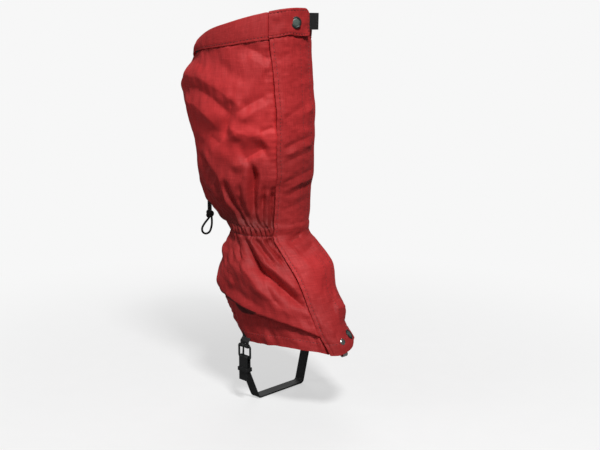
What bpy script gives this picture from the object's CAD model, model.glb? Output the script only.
import math

import bpy
import numpy as np
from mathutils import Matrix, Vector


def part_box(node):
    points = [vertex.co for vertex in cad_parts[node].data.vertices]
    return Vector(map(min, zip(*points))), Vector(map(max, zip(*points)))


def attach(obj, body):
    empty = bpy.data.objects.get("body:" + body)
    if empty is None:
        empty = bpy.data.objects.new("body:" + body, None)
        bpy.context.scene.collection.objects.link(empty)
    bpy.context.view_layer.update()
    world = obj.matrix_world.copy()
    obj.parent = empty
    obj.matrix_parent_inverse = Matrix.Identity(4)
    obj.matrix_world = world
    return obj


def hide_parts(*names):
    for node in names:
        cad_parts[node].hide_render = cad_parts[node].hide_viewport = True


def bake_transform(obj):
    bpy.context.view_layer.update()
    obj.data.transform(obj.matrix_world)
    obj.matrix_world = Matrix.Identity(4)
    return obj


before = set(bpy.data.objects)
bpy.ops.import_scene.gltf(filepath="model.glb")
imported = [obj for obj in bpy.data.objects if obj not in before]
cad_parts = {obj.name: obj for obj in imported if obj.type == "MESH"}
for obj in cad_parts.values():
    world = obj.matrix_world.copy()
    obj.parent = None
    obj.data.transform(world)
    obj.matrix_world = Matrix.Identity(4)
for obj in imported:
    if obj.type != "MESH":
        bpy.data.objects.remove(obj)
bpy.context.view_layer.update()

MM = 0.001
rng = np.random.default_rng(433)

# ---------------------------------------------------------------------------
# small numeric helpers
# ---------------------------------------------------------------------------


def pchip(xs, ys, q):
    """Monotone cubic interpolation."""
    x = np.asarray(xs, float)
    y = np.asarray(ys, float)
    h = np.diff(x)
    d = np.diff(y) / h
    m = np.zeros_like(y)
    m[0], m[-1] = d[0], d[-1]
    for i in range(1, len(x) - 1):
        if d[i - 1] * d[i] > 0:
            w1, w2 = 2 * h[i] + h[i - 1], h[i] + 2 * h[i - 1]
            m[i] = (w1 + w2) / (w1 / d[i - 1] + w2 / d[i])
    q = np.asarray(q, float)
    qq = np.clip(q, x[0], x[-1])
    i = np.clip(np.searchsorted(x, qq) - 1, 0, len(x) - 2)
    t = (qq - x[i]) / h[i]
    return (
        y[i] * (2 * t**3 - 3 * t**2 + 1)
        + m[i] * h[i] * (t**3 - 2 * t**2 + t)
        + y[i + 1] * (-2 * t**3 + 3 * t**2)
        + m[i + 1] * h[i] * (t**3 - t**2)
    )


def smooth(t):
    t = np.clip(t, 0, 1)
    return t * t * (3 - 2 * t)


def bump1(t):
    """1 at 0, falling to 0 at |t| = 1."""
    return 1 - smooth(np.abs(t))


# ---------------------------------------------------------------------------
# the tube the cloth follows: height, centre Y, half width, half depth (mm)
# ---------------------------------------------------------------------------
TUBE = [
    (-152, -37, 51, 101), (-135, -33, 53, 100), (-118, -27, 57, 98), (-101, -20, 62, 96), (-83, -13, 66, 93),
    (-65, -9, 68, 89), (-51, -7, 67, 84), (-38, -5, 65, 77), (-26, -3, 62, 70), (-15, -1, 57, 61),
    (-7, 0, 52.0, 53.0), (0, 0, 50.2, 50.4), (7, 3, 51.8, 53.2), (12, 9, 54, 57), (28, 18, 60, 65), (44, 24, 64, 71),
    (59, 27, 67, 75), (75, 26, 69, 78), (90, 26, 70, 78), (106, 27, 70, 79), (121, 28, 72, 81),
    (137, 31, 74, 83.5), (152, 33.5, 76.5, 86.5), (167, 37, 77.5, 88), (182, 39, 78, 88.5),
    (197, 36.5, 76, 85), (212, 31, 71, 79), (227, 29, 69, 76), (242, 28, 68.5, 75), (257, 27, 68, 74), (284, 26, 67, 73),
]
TZ = [r[0] for r in TUBE]


def tube(z):
    return [pchip(TZ, [r[k] for r in TUBE], z) for k in (1, 2, 3)]


FRONT = [(-145, 1.5), (-133, 2.5), (-127, 0.4), (-121, -2.4), (-116, -3.8), (-110, -5.0), (-104, -2.0), (-97, 0.5), (-90, 0), (-80, -2.9), (-70, -4.4), (-60, -2.7), (-50, 0.3), (-40, 2.5), (-30, 0.5), (-20, -1.8), (-10, -2.2), (0, -2.2), (10, -1.4), (24, 0), (60, 0)]
HEEL = [(-145, -1), (-125, -2), (-112, -6), (-103, -9), (-91, -9), (-79, -6), (-68, -3), (-55, -3.5), (-40, -3), (-25, 0), (-5, 0), (12, 0.5), (25, 2.6), (100, 2.4), (110, 3.6), (185, 3.4), (210, 2.2), (236, 1.0), (250, 0), (280, 0)]


def body_shape(phi, z):
    """How far the worn tube stands off its plain sections at the instep and behind the leg."""
    d = np.degrees(phi)
    f = pchip([r[0] for r in FRONT], [r[1] for r in FRONT], z) * np.exp(-(((d - 30) / 24) ** 2))
    h = pchip([r[0] for r in HEEL], [r[1] for r in HEEL], z) * np.exp(-(((np.abs(d) - 136) / 40) ** 2))
    return f + h


def point(phi, z, off=0.0):
    """phi in radians: 0 at the toe side, negative towards the outer side."""
    yc, a, b = tube(z)
    off = off + body_shape(phi, z)
    return np.stack([(a + off) * np.sin(phi), yc - (b + off) * np.cos(phi), z + 0 * phi], -1)


def normal(phi, z):
    e, s = 1e-3, 0.4
    du = point(phi + e, z) - point(phi - e, z)
    dv = point(phi, z + s) - point(phi, z - s)
    n = np.cross(du, dv)
    return n / np.linalg.norm(n, axis=-1, keepdims=True)


def phi_at_x(x, z):
    _, a, _ = tube(z)
    return np.arcsin(np.clip(x / a, -1, 1))


SEAM_Z = [-142, -134, -109, -89, -66.5, -46.4, -22.7, -12.5, -2.4, 3.7, 19, 44, 70, 95, 120, 144, 168, 192, 216, 241.6, 280]
SEAM_X = [-19, -20.7, -26.0, -27.2, -29.1, -31, -33.6, -32.7, -31.3, -30.3, -29.1, -27.8, -28.7, -29.2, -29.8, -30.3, -30.3, -30.7, -31.9, -33.6, -34]
EDGE_Z = [-142, -120, -60, -20, 0, 30, 240, 280]
EDGE_X = [27, 30, 35, 35, 32, 34, 35, 34]


def seam_phi(z):
    return phi_at_x(pchip(SEAM_Z, SEAM_X, z), z)


def edge_phi(z):
    return phi_at_x(pchip(EDGE_Z, EDGE_X, z), z)


def hem_z(phi):
    """Lower hem: dips at the toe, rises over the heel."""
    d = np.degrees(phi)
    d = np.where(d > 60, -d, d)
    return pchip(
        [-181, -150, -130, -120, -113, -109, -105, -99, -90, -82, -60, -42, -30, -20, -11, 0, 10, 18, 25, 42, 61],
        [-103, -104, -108, -112, -118, -126, -132.5, -137, -137.2, -136.2, -134.8, -135.2, -137, -139, -139.4, -137.2, -134.2, -131.2, -129.6, -131.4, -134.8],
        d,
    )


def rim_z(y):
    return 272.5 - 0.33 * (y + 35) + 2.4 * np.exp(-(((y - 35) / 28) ** 2))


def band_z(y):
    return 234.5 - 0.19 * y + 0.07 * np.maximum(y, 0) - 0.30 * np.maximum(y - 72, 0)


def on_plane(phi, plane, off=0.0):
    """Height at which the tube at angle phi meets a tilted plane z = plane(y)."""
    z = np.full_like(phi, 240.0)
    for _ in range(8):
        yc, a, b = tube(z)
        z = plane(yc - (b + off) * np.cos(phi))
    return z


# ---------------------------------------------------------------------------
# relief of the cloth, mm along the surface normal
# ---------------------------------------------------------------------------
def arc(phi, z):
    _, a, b = tube(z)
    return phi * (a + b) / 2


def stroke(U, Z, pts, amp, width, taper=(0.22, 0.22)):
    """A ridge (amp > 0) or a valley (amp < 0) along a line given in degrees and mm."""
    p = np.array([(float(arc(math.radians(f), z)), z) for f, z in pts])
    seg = np.diff(p, axis=0)
    length = np.hypot(seg[:, 0], seg[:, 1])
    total, run = length.sum(), 0.0
    out = np.zeros_like(U)
    lo, hi = p.min(0) - 3 * width, p.max(0) + 3 * width
    m = (U > lo[0]) & (U < hi[0]) & (Z > lo[1]) & (Z < hi[1])
    if not m.any():
        return out
    u, v = U[m], Z[m]
    best = np.full(u.shape, 1e9)
    along = np.zeros(u.shape)
    for k in range(len(seg)):
        t = np.clip(((u - p[k, 0]) * seg[k, 0] + (v - p[k, 1]) * seg[k, 1]) / (length[k] ** 2 + 1e-9), 0, 1)
        d = np.hypot(u - p[k, 0] - t * seg[k, 0], v - p[k, 1] - t * seg[k, 1])
        near = d < best
        best = np.where(near, d, best)
        along = np.where(near, (run + t * length[k]) / total, along)
        run += length[k]
    fade = smooth(along / max(taper[0], 1e-3)) * smooth((1 - along) / max(taper[1], 1e-3))
    w = width * (0.75 + 0.5 * fade)
    out[m] = amp * fade * (0.62 * np.exp(-((best / w) ** 2)) + 0.38 * np.exp(-1.7 * best / w))
    return out


def strokes(phi, z, table, gain=1.0):
    h = np.zeros_like(phi)
    U = arc(phi, z)
    for pts, amp, w in table:
        h += stroke(U, z, pts, amp * gain, w)
        far = [p[0] for p in pts]
        if max(far) > 130:
            h += stroke(U, z, [(p[0] - 360, p[1]) for p in pts], amp * gain, w)
        if min(far) < -130:
            h += stroke(U, z, [(p[0] + 360, p[1]) for p in pts], amp * gain, w)
    return h


# folds of the outer side: (points in degrees and mm, height, width)
FOLDS = [
    ([(-134, 184), (-119, 180.6), (-96, 181), (-80, 170), (-69.5, 156.5), (-62, 146)], -3.0, 12.0),
    ([(-140, 196), (-93, 194), (-72, 181), (-57, 165), (-48, 150)], 2.5, 13.0),
    ([(-122, 165), (-100, 160), (-86, 146), (-78, 128)], 2.4, 11.0),
    ([(-60, 172), (-65, 151), (-72, 131), (-76, 116)], -2.4, 5.5),
    ([(-53, 168), (-57, 150), (-63, 131), (-60, 116)], 2.4, 7.0),
    ([(-32, 112), (-44, 104.5), (-53, 98.5), (-61, 92)], -4.2, 8.5),
    ([(-70, 140), (-59, 129), (-49, 124), (-36, 128)], 2.2, 8.5),
    ([(-74, 84), (-60, 89), (-47, 96), (-34, 101)], 1.8, 7.0),
    ([(-93, 122), (-79, 113)], -1.2, 5.0),
    ([(-60, 235), (-41, 226), (-25, 214)], -2.0, 6.0),
    ([(-52, 222), (-38, 212), (-27, 202)], 1.2, 7.0),
    ([(-28, 176), (-45, 164), (-61, 151)], -2.0, 5.0),
    ([(-28, 165), (-45, 153), (-57, 142)], 1.6, 6.0),
    ([(-26, 136), (-41, 129)], -1.4, 3.5),
    ([(-118, 100), (-102, 78), (-92, 60), (-89, 36), (-84, 6)], -4.6, 7.0),
    ([(-106, 100), (-83, 66), (-81, 38), (-79.5, 14)], 2.2, 5.5),
    ([(-81, 70), (-77, 58), (-74, 40), (-75.5, 6)], -3.2, 4.6),
    ([(-50, 92), (-48, 72), (-49, 53), (-57, 24), (-60, 5)], -4.0, 5.5),
    ([(-57, 84), (-57, 60), (-63, 34)], 1.8, 5.0),
    ([(-36, 54), (-44, 32), (-51, 5)], -3.0, 4.4),
    ([(-27, 56), (-31, 36), (-35.5, 6)], -2.8, 3.8),
    ([(-66, 52), (-67.5, 30), (-67, 5)], -2.4, 4.0),
    ([(-99, 44), (-95, 24), (-92, 5)], -2.8, 4.4),
    ([(-112, 56), (-106, 30), (-101, 5)], -2.8, 4.8),
    ([(-126, 66), (-117, 34), (-110, 5)], -3.0, 5.2),
    ([(-84, -4), (-74, -13), (-68.6, -20), (-64.4, -35), (-50, -52.8), (-41, -65), (-30, -80.5), (-25, -90)], -6.4, 6.6),
    ([(-84, -24), (-77, -42), (-64, -62), (-53, -80), (-38, -98)], 3.2, 10.0),
    ([(-59, -12), (-55, -30), (-43, -46), (-33, -60), (-27, -70)], 3.0, 6.5),
    ([(-66, -28), (-63, -36), (-58, -58), (-54, -74), (-48, -88)], -2.4, 4.6),
    ([(-97, -4), (-91, -20), (-83, -34)], -2.6, 4.0),
    ([(-90, -4), (-84, -17), (-77, -30)], -2.2, 3.2),
    ([(-53, -4), (-45, -13), (-36, -30)], -2.2, 3.2),
    ([(-45, -3), (-37.5, -15)], -1.8, 2.8),
    ([(-60, -4), (-54, -18), (-45, -33)], -2.4, 3.4),
    ([(-104, -4), (-100, -22), (-96, -40)], -2.4, 4.4),
    ([(-113, -4), (-111, -25), (-107, -46)], -2.2, 5.0),
    ([(-122, -50), (-108, -60), (-92, -64)], 1.6, 9.0),
]
GATHERS = [
    ([(-118, 100), (-102, 78), (-92, 60), (-89, 36), (-84, 4)], -3.2, 5.0),
    ([(-109, 84), (-97, 60), (-95, 34), (-89, 4)], 2.0, 4.0),
    ([(-100, 74), (-84, 52), (-82, 30), (-80, 4)], 1.8, 3.6),
    ([(-80, 74), (-77, 52), (-74, 32), (-75.5, 2)], -3.4, 3.4),
    ([(-72, 78), (-70, 50), (-69, 26), (-70.5, 2)], 2.2, 3.4),
    ([(-62, 70), (-63, 44), (-65, 20), (-65.5, 2)], -2.6, 3.2),
    ([(-57, 96), (-54, 66), (-57, 36), (-61.5, 2)], 2.2, 3.8),
    ([(-50, 98), (-47.6, 60), (-52, 28), (-57.5, 2)], -4.2, 3.8),
    ([(-42, 84), (-42, 50), (-47, 24), (-52.5, 2)], 2.2, 3.4),
    ([(-36, 66), (-40, 36), (-46, 16), (-49, 2)], -3.2, 3.0),
    ([(-33, 60), (-35, 34), (-41, 12), (-44, 2)], 1.8, 2.8),
    ([(-27, 66), (-29.5, 40), (-34, 18), (-40, 2)], -2.8, 2.8),
    ([(-96, -3), (-90, -18), (-84, -36), (-80, -50)], -2.4, 3.2),
    ([(-89, -3), (-84, -16), (-77, -34)], 1.8, 3.0),
    ([(-80, -2), (-74, -13), (-69, -24), (-62, -38)], -3.4, 3.4),
    ([(-73, -2), (-66, -14), (-60, -28), (-50, -44)], 2.4, 3.2),
    ([(-64, -2), (-58, -14), (-51, -28), (-43, -42)], -2.6, 3.0),
    ([(-58, -2), (-51, -13), (-44, -26), (-37, -38)], 1.8, 2.6),
    ([(-52, -2), (-45, -12), (-38, -26), (-34, -36)], -2.4, 2.6),
    ([(-44, -2), (-39, -11), (-34, -22)], -1.8, 2.4),
]
FLAP_FOLDS = [
    ([(-22, 106), (-3, 116), (28, 125)], -1.5, 4.0),
    ([(-20, 98), (-2, 107), (28, 114)], 0.9, 3.6),
    ([(-21, 90), (0, 98), (30, 103)], -1.2, 3.4),
    ([(-20, 142), (-7.6, 152), (14, 163)], -1.3, 4.5),
    ([(-21, 66), (2, 74), (31, 79)], -1.6, 4.0),
    ([(-20, 56), (2, 65), (31, 69)], 0.9, 3.6),
    ([(-19, 46), (3, 55), (31, 61)], -1.4, 4.0),
    ([(-17, 32), (3, 38), (26, 42)], -0.9, 4.0),
    ([(8, 150), (22, 158), (34, 166)], 1.6, 5.0),
    ([(-10, 186), (8, 196), (24, 200)], -0.8, 6.0),
    ([(-24, 212), (-12, 222), (0, 226)], -0.7, 5.0),
    ([(10, -2), (-11, -8), (-23, -15)], -2.4, 3.4),
    ([(24, -16), (-6, -21.6), (-18, -24)], -2.3, 3.8),
    ([(-20, -34), (-4, -40), (14, -42)], 2.0, 9.0),
    ([(-4, -58), (8, -68), (17, -78)], -1.9, 6.5),
    ([(2, -90), (14, -92), (24, -93)], 3.6, 6.5),
    ([(-24, -100), (-14, -108), (-8, -120)], 1.0, 6.0),
]
TUCK_D = [-132, -118, -100, -90, -77, -66, -55.7, -39.5, -27, -18]
TUCK_Z = [-74, -78, -82.5, -83.5, -92, -96.5, -101, -109.4, -116.5, -121]
TUCK_DEPTH = [0, 4.5, 15.0, 16.5, 13.0, 7.8, 6.0, 4.6, 3.0, 0]


def extra_folds():
    """Folds of the inner side and the back, in the same manner as the outer side."""
    r = np.random.default_rng(91)
    out = []
    for f, z, amp, w in (
        (150, 150, -3.6, 9), (120, 120, -3.2, 8), (95, 165, -2.6, 8), (70, 100, -3.4, 8), (60, 150, -2.2, 7),
        (165, 100, -3.0, 8), (-160, 130, -3.4, 9), (-150, 90, -3.0, 8), (45, 190, -2.0, 7), (130, 190, 2.2, 10),
        (80, 140, 2.0, 9), (-170, 165, 2.0, 9),
    ):
        s = 14 + 12 * r.random()
        tilt = (1 if f > 0 else -1) * (8 + 16 * r.random())
        out.append(([(f - s, z + tilt), (f, z + 3 * r.standard_normal()), (f + s, z - tilt)], amp, w))
    for f, z, amp, w in ((140, -50, -4.0, 7), (100, -60, -4.4, 7), (75, -45, -3.6, 6), (170, -60, -3.0, 7), (-145, -55, -3.0, 7), (55, -70, -3.4, 7)):
        s = 10 + 6 * r.random()
        out.append(([(f + s * 0.2, z + 40), (f, z + 12), (f - s, z - 16), (f - 1.8 * s, z - 34)], amp, w))
    for k, f in enumerate(np.arange(40, 226, 11.5)):
        f = f + 2.5 * r.standard_normal()
        d = f if f <= 180 else f - 360
        up, dn = 30 + 46 * r.random(), 22 + 34 * r.random()
        out.append(([(d + 5 * r.standard_normal(), up), (d + 1.5, up * 0.5), (d, 5)], -(1.8 + 1.6 * r.random()), 3.8 + 1.6 * r.random()))
        out.append(([(d + 4 * r.standard_normal(), -dn), (d + 1.5, -dn * 0.5), (d, -4)], -(1.6 + 1.4 * r.random()), 3.4 + 1.4 * r.random()))
    return out


def waves(U, Z, seed, count, k0, k1):
    """Sum of plane waves with wavelengths between k0 and k1 mm, about unit height."""
    r = np.random.default_rng(seed)
    s = np.zeros_like(U)
    for _ in range(count):
        lam = k0 * (k1 / k0) ** r.random()
        th = r.random() * math.pi
        ph = r.random() * 2 * math.pi
        s += np.sin(2 * math.pi * (U * math.cos(th) + Z * math.sin(th)) / lam + ph)
    return s / math.sqrt(count / 2)


WZ = 3.5


def waist_pleats(phi, z):
    """Shirring held by the elastic between its two stitch rows, fading out above and below."""
    d = np.degrees(phi)
    z = z - WZ
    r = np.random.default_rng(7)
    out = np.zeros_like(d)
    for c in np.arange(-180, 180, 7.0):
        cc = c + 1.3 * r.standard_normal()
        h = 0.75 + 0.55 * r.random()
        w = 1.55 + 0.6 * r.random()
        up, dn = 12 + 26 * r.random() ** 2, 10 + 22 * r.random() ** 2
        bu, bd = 0.16 * r.standard_normal(), 0.16 * r.standard_normal()
        lean = np.where(z > 0, bu, bd) * np.abs(z)
        dd = (d - cc - lean + 180) % 360 - 180
        reach = np.where(z > 0, bump1(z / up), bump1(z / dn))
        out += h * np.exp(-((dd / (w * (1 + np.abs(z) / 22))) ** 2)) * reach
    band = bump1(z / 26.0)
    rows = 0.9 * (np.exp(-(((z - 5.6) / 1.1) ** 2)) + np.exp(-(((z + 5.6) / 1.1) ** 2)))
    puff = 0.7 * (np.exp(-(((z - 10.5) / 2.6) ** 2)) + np.exp(-(((z + 10.5) / 2.6) ** 2)))
    return 2.9 * out - 1.1 * band - rows * (0.5 + 0.8 * out) + puff * (0.4 + out)


def tuck(phi, z):
    d = np.degrees(phi)
    zl = pchip(TUCK_D, TUCK_Z, d)
    dep = np.where((d > -132) & (d < -18), pchip(TUCK_D, TUCK_DEPTH, d), 0)
    s = z - zl
    f = 1 / (1 + np.exp(-np.clip(s / 0.55, -40, 40)))
    up = 0.42 * dep * np.exp(-((np.maximum(s, 0) / 8.0) ** 2))
    slit = smooth((-70 - d) / 10)
    reach = 13.0 - 7.5 * slit
    rest = 0.32 - 0.24 * slit
    dn = -dep * (rest + (1 - rest) * np.exp(np.minimum(s, 0) / reach)) * smooth((z + 141) / 5)
    return f * up + (1 - f) * dn


def shell_relief(phi, z):
    U, Z = arc(phi, z), z
    h = strokes(phi, z, FOLDS, 1.5) + strokes(phi, z, GATHERS, 1.0) + strokes(phi, z, extra_folds(), 1.5)
    mid = smooth((np.abs(z) - 14) / 30)
    back = smooth((math.pi - np.abs(phi)) / 0.35)
    h += mid * back * 0.9 * waves(U, Z, 3, 26, 34, 80)
    h += 0.30 * back * waves(U * 1.2, Z * 0.8, 5, 30, 11, 26) * smooth((np.abs(z) - 6) / 14)
    h += waist_pleats(phi, z)
    h += tuck(phi, z)
    # puckers along the flap seam and the cuff seam
    sp = (phi - seam_phi(z)) * 70
    pull = np.sin(z * 2 * math.pi / 8.5 + 0.8 * np.sin(z / 17.0))
    h += 0.28 * pull * np.exp(sp / 8.0) * (sp < 0)
    h -= 1.5 * np.exp(-((sp / 1.2) ** 2)) * smooth((20 - np.abs(sp)) / 5)
    zb = on_plane(phi, band_z)
    h += (0.34 * np.sin(U * 2 * math.pi / 9.0 + 1.2 * np.sin(U / 23.0)) - 0.2) * np.exp(-(zb - z) / 9.0)
    h -= 0.9 * np.exp(-(((zb - z) / 1.8) ** 2))
    # turned hem with its stitch line
    e = z - hem_z(phi)
    h += 0.5 * smooth((12.5 - e) / 1.0) - 0.45 * np.exp(-(((e - 12.0) / 0.9) ** 2)) + 0.25 * np.exp(-((e / 1.3) ** 2))
    h += 0.22 * np.sin(U * 2 * math.pi / 10.5 + np.sin(U / 19.0)) * np.exp(-((e - 12) / 7.0) ** 2)
    # back seam, felled
    db = (math.pi - np.abs(phi)) * 75
    h += 0.55 * smooth((4.5 - db) / 0.8) * np.sign(phi).clip(0, 1) - 0.4 * np.exp(-((db / 0.8) ** 2))
    # a shallow hollow where the cord lock lies on the back
    h -= 2.4 * np.exp(-((db / 18.0) ** 2)) * np.exp(-(((z - 158.0) / 15.0) ** 2))
    # the flap lies over the front: keep that part low
    covered = smooth((phi - seam_phi(z)) / 0.02) * smooth((edge_phi(z) + 0.10 - phi) / 0.06)
    return h * (1 - covered) - 0.4 * covered


def flap_relief(phi, z, s):
    """s runs 0 at the seam to 1 at the free edge."""
    U, Z = arc(phi, z), z
    h = np.zeros_like(U)
    h = strokes(phi, z, FLAP_FOLDS, 1.4)
    h += 0.34 * waves(U, Z, 13, 26, 26, 70)
    h += 0.16 * waves(U, Z * 1.3, 15, 30, 9, 22)
    h = np.where(h < 0, h * 0.85, h)
    dist = (phi - seam_phi(z)) * 70
    rise = smooth(dist / 9.0)
    waist = 1 - 0.35 * np.exp(-((z / 11.0) ** 2))
    off = (1.1 + 2.1 * rise) * waist
    off = off + 0.35 * np.exp(-(((dist - 1.6) / 1.5) ** 2)) - 0.45 * np.exp(-(((dist - 4.3) / 0.8) ** 2))
    off += 0.2 * np.sin(z * 2 * math.pi / 9.0 + 0.7 * np.sin(z / 15.0)) * np.exp(-dist / 6.0)
    de = (edge_phi(z) - phi) * 65
    off += 0.4 * smooth((11 - de) / 1.0) - 0.3 * np.exp(-(((de - 10.5) / 0.7) ** 2))
    # stitch line of the hook tape
    x = point(phi, z)[..., 0]
    # the lace hook's plate lifts the cloth round its rivet
    off += 0.7 * np.exp(-(((x + 1.5) ** 2 + (z + 127.0) ** 2) / 10.0 ** 2))
    inside = smooth((z - 26) / 4) * smooth((236 - z) / 4) + smooth((-24 - z) / 4) * smooth((z + 112) / 4)
    off -= 0.35 * np.exp(-(((x - 7.0) / 0.9) ** 2)) * inside
    # hem
    e = z - hem_z(phi)
    off += 0.5 * smooth((12.5 - e) / 1.0) - 0.4 * np.exp(-(((e - 12.0) / 0.8) ** 2))
    zb = on_plane(phi, band_z)
    off += (0.3 * np.sin(U * 2 * math.pi / 8.0)) * np.exp(-(zb - z) / 7.0) - 0.5 * np.exp(-(((zb - z) / 1.6) ** 2))
    return off + h * smooth(dist / 9.0) * (0.22 + 0.78 * smooth(de / 16.0))


# ---------------------------------------------------------------------------
# mesh building
# ---------------------------------------------------------------------------
class Build:
    """Gathers quads and triangles with a material index and a UV in mm per vertex."""

    def __init__(self):
        self.v, self.uv, self.f, self.m = [], [], [], []
        self.n = 0

    def add(self, verts, faces, mat=0, uv=None):
        verts = np.asarray(verts, float).reshape(-1, 3)
        self.v.append(verts)
        self.uv.append(np.zeros((len(verts), 2)) if uv is None else np.asarray(uv, float).reshape(-1, 2))
        faces = np.asarray(faces, int)
        if faces.shape[1] == 3:
            faces = np.concatenate([faces, np.full((len(faces), 1), -1 - self.n)], 1)
        self.f.append(faces + self.n)
        self.m.append(np.full(len(faces), mat))
        self.n += len(verts)

    def make(self, name, mats, sharp=48):
        v = np.concatenate(self.v) * MM
        uv = np.concatenate(self.uv)
        f = np.concatenate(self.f)
        m = np.concatenate(self.m)
        tri = f[:, 3] < 0
        tot = np.where(tri, 3, 4)
        start = np.concatenate([[0], np.cumsum(tot)[:-1]])
        loops = f.reshape(-1)
        loops = loops[loops >= 0]
        me = bpy.data.meshes.new(name)
        me.vertices.add(len(v))
        me.vertices.foreach_set("co", v.astype(np.float32).ravel())
        me.loops.add(len(loops))
        me.loops.foreach_set("vertex_index", loops.astype(np.int32))
        me.polygons.add(len(f))
        me.polygons.foreach_set("loop_start", start.astype(np.int32))
        me.polygons.foreach_set("loop_total", tot.astype(np.int32))
        me.polygons.foreach_set("material_index", m.astype(np.int32))
        me.polygons.foreach_set("use_smooth", np.ones(len(f), bool))
        layer = me.uv_layers.new(name="UVMap")
        layer.data.foreach_set("uv", (uv[loops] / 100.0).astype(np.float32).ravel())
        me.update(calc_edges=True)
        me.validate()
        if sharp:
            me.set_sharp_from_angle(angle=math.radians(sharp))
        for mat in mats:
            me.materials.append(mat)
        ob = bpy.data.objects.new(name, me)
        bpy.context.scene.collection.objects.link(ob)
        return ob


def quads(nv, nu, base=0, flip=False):
    i = np.arange(nv - 1)[:, None] * nu + np.arange(nu - 1)[None, :]
    q = np.stack([i, i + 1, i + 1 + nu, i + nu], -1).reshape(-1, 4) + base
    return q[:, ::-1] if flip else q


def grid_normals(P):
    du = np.gradient(P, axis=1)
    dv = np.gradient(P, axis=0)
    n = np.cross(du, dv)
    return n / (np.linalg.norm(n, axis=-1, keepdims=True) + 1e-12)


def slab(b, P, t, mat=0, uv=None, inner_mat=None, N=None):
    """Closed sheet: outer face P (outward = right-hand of u then v), thickness t inwards, walls all round."""
    nv, nu = P.shape[:2]
    if N is None:
        N = grid_normals(P)
    Q = P - N * t
    V = np.concatenate([P.reshape(-1, 3), Q.reshape(-1, 3)])
    if uv is None:
        du = np.concatenate([[0], np.cumsum(np.linalg.norm(np.diff(P[nv // 2], axis=0), axis=1))])
        dv = np.concatenate([[0], np.cumsum(np.linalg.norm(np.diff(P[:, nu // 2], axis=0), axis=1))])
        uv = np.stack(np.meshgrid(du, dv), -1)
    UV = np.concatenate([uv.reshape(-1, 2)] * 2)
    n = nv * nu
    outer = quads(nv, nu)
    inner = quads(nv, nu, n, flip=True)
    k = np.arange(nu - 1)
    low = np.stack([k + n, k + 1 + n, k + 1, k], -1)
    top = np.stack([k, k + 1, k + 1 + n, k + n], -1) + (nv - 1) * nu
    j = np.arange(nv - 1) * nu
    left = np.stack([j, j + nu, j + nu + n, j + n], -1)
    right = np.stack([j + n, j + nu + n, j + nu, j], -1) + nu - 1
    walls = np.concatenate([low, top, left, right])
    faces = np.concatenate([outer, walls, inner])
    b.add(V, faces, mat, UV)
    if inner_mat is not None:
        b.m[-1][len(outer) + len(walls):] = inner_mat


def frames_along(path):
    """Tangents of a polyline."""
    t = np.gradient(path, axis=0)
    return t / (np.linalg.norm(t, axis=1, keepdims=True) + 1e-12)


def rope(b, path, r, sides=10, mat=0, closed=False, caps=True, twist=0.0, flatten=None):
    """Round tube of radius r (number or array) along a polyline, by parallel transport."""
    path = np.asarray(path, float)
    n = len(path)
    if closed:
        t = np.roll(path, -1, 0) - np.roll(path, 1, 0)
        t /= np.linalg.norm(t, axis=1, keepdims=True)
    else:
        t = frames_along(path)
    ref = np.array([0, 0, 1.0]) if abs(t[0, 2]) < 0.9 else np.array([1.0, 0, 0])
    x = np.cross(ref, t[0])
    x /= np.linalg.norm(x)
    rings, r = [], np.broadcast_to(r, (n,))
    s = 0.0
    uvs = []
    for i in range(n):
        x = x - t[i] * (x @ t[i])
        x /= np.linalg.norm(x)
        y = np.cross(t[i], x)
        if i:
            s += np.linalg.norm(path[i] - path[i - 1])
        a = np.linspace(0, 2 * math.pi, sides, endpoint=False) + twist * s
        rings.append(path[i] + r[i] * (np.cos(a)[:, None] * x + np.sin(a)[:, None] * y))
        uvs.append(np.stack([np.linspace(0, 2 * math.pi * float(np.max(r)), sides), np.full(sides, s)], -1))
    V = np.array(rings).reshape(-1, 3)
    i, j = np.meshgrid(np.arange(n if closed else n - 1), np.arange(sides), indexing="ij")
    i2, j2 = (i + 1) % n, (j + 1) % sides
    F = np.stack([i * sides + j, i * sides + j2, i2 * sides + j2, i2 * sides + j], -1).reshape(-1, 4)
    b.add(V, F, mat, np.array(uvs))
    if caps and not closed:
        for e, flip in ((0, True), (n - 1, False)):
            k = np.arange(sides)
            fan = np.stack([k, (k + 1) % sides, np.full(sides, sides)], -1)
            if flip:
                fan = fan[:, ::-1]
            tip = path[e] + t[e] * (-0.4 if e == 0 else 0.4) * r[e]
            b.add(np.concatenate([rings[e], tip[None]]), fan, mat)


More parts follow.
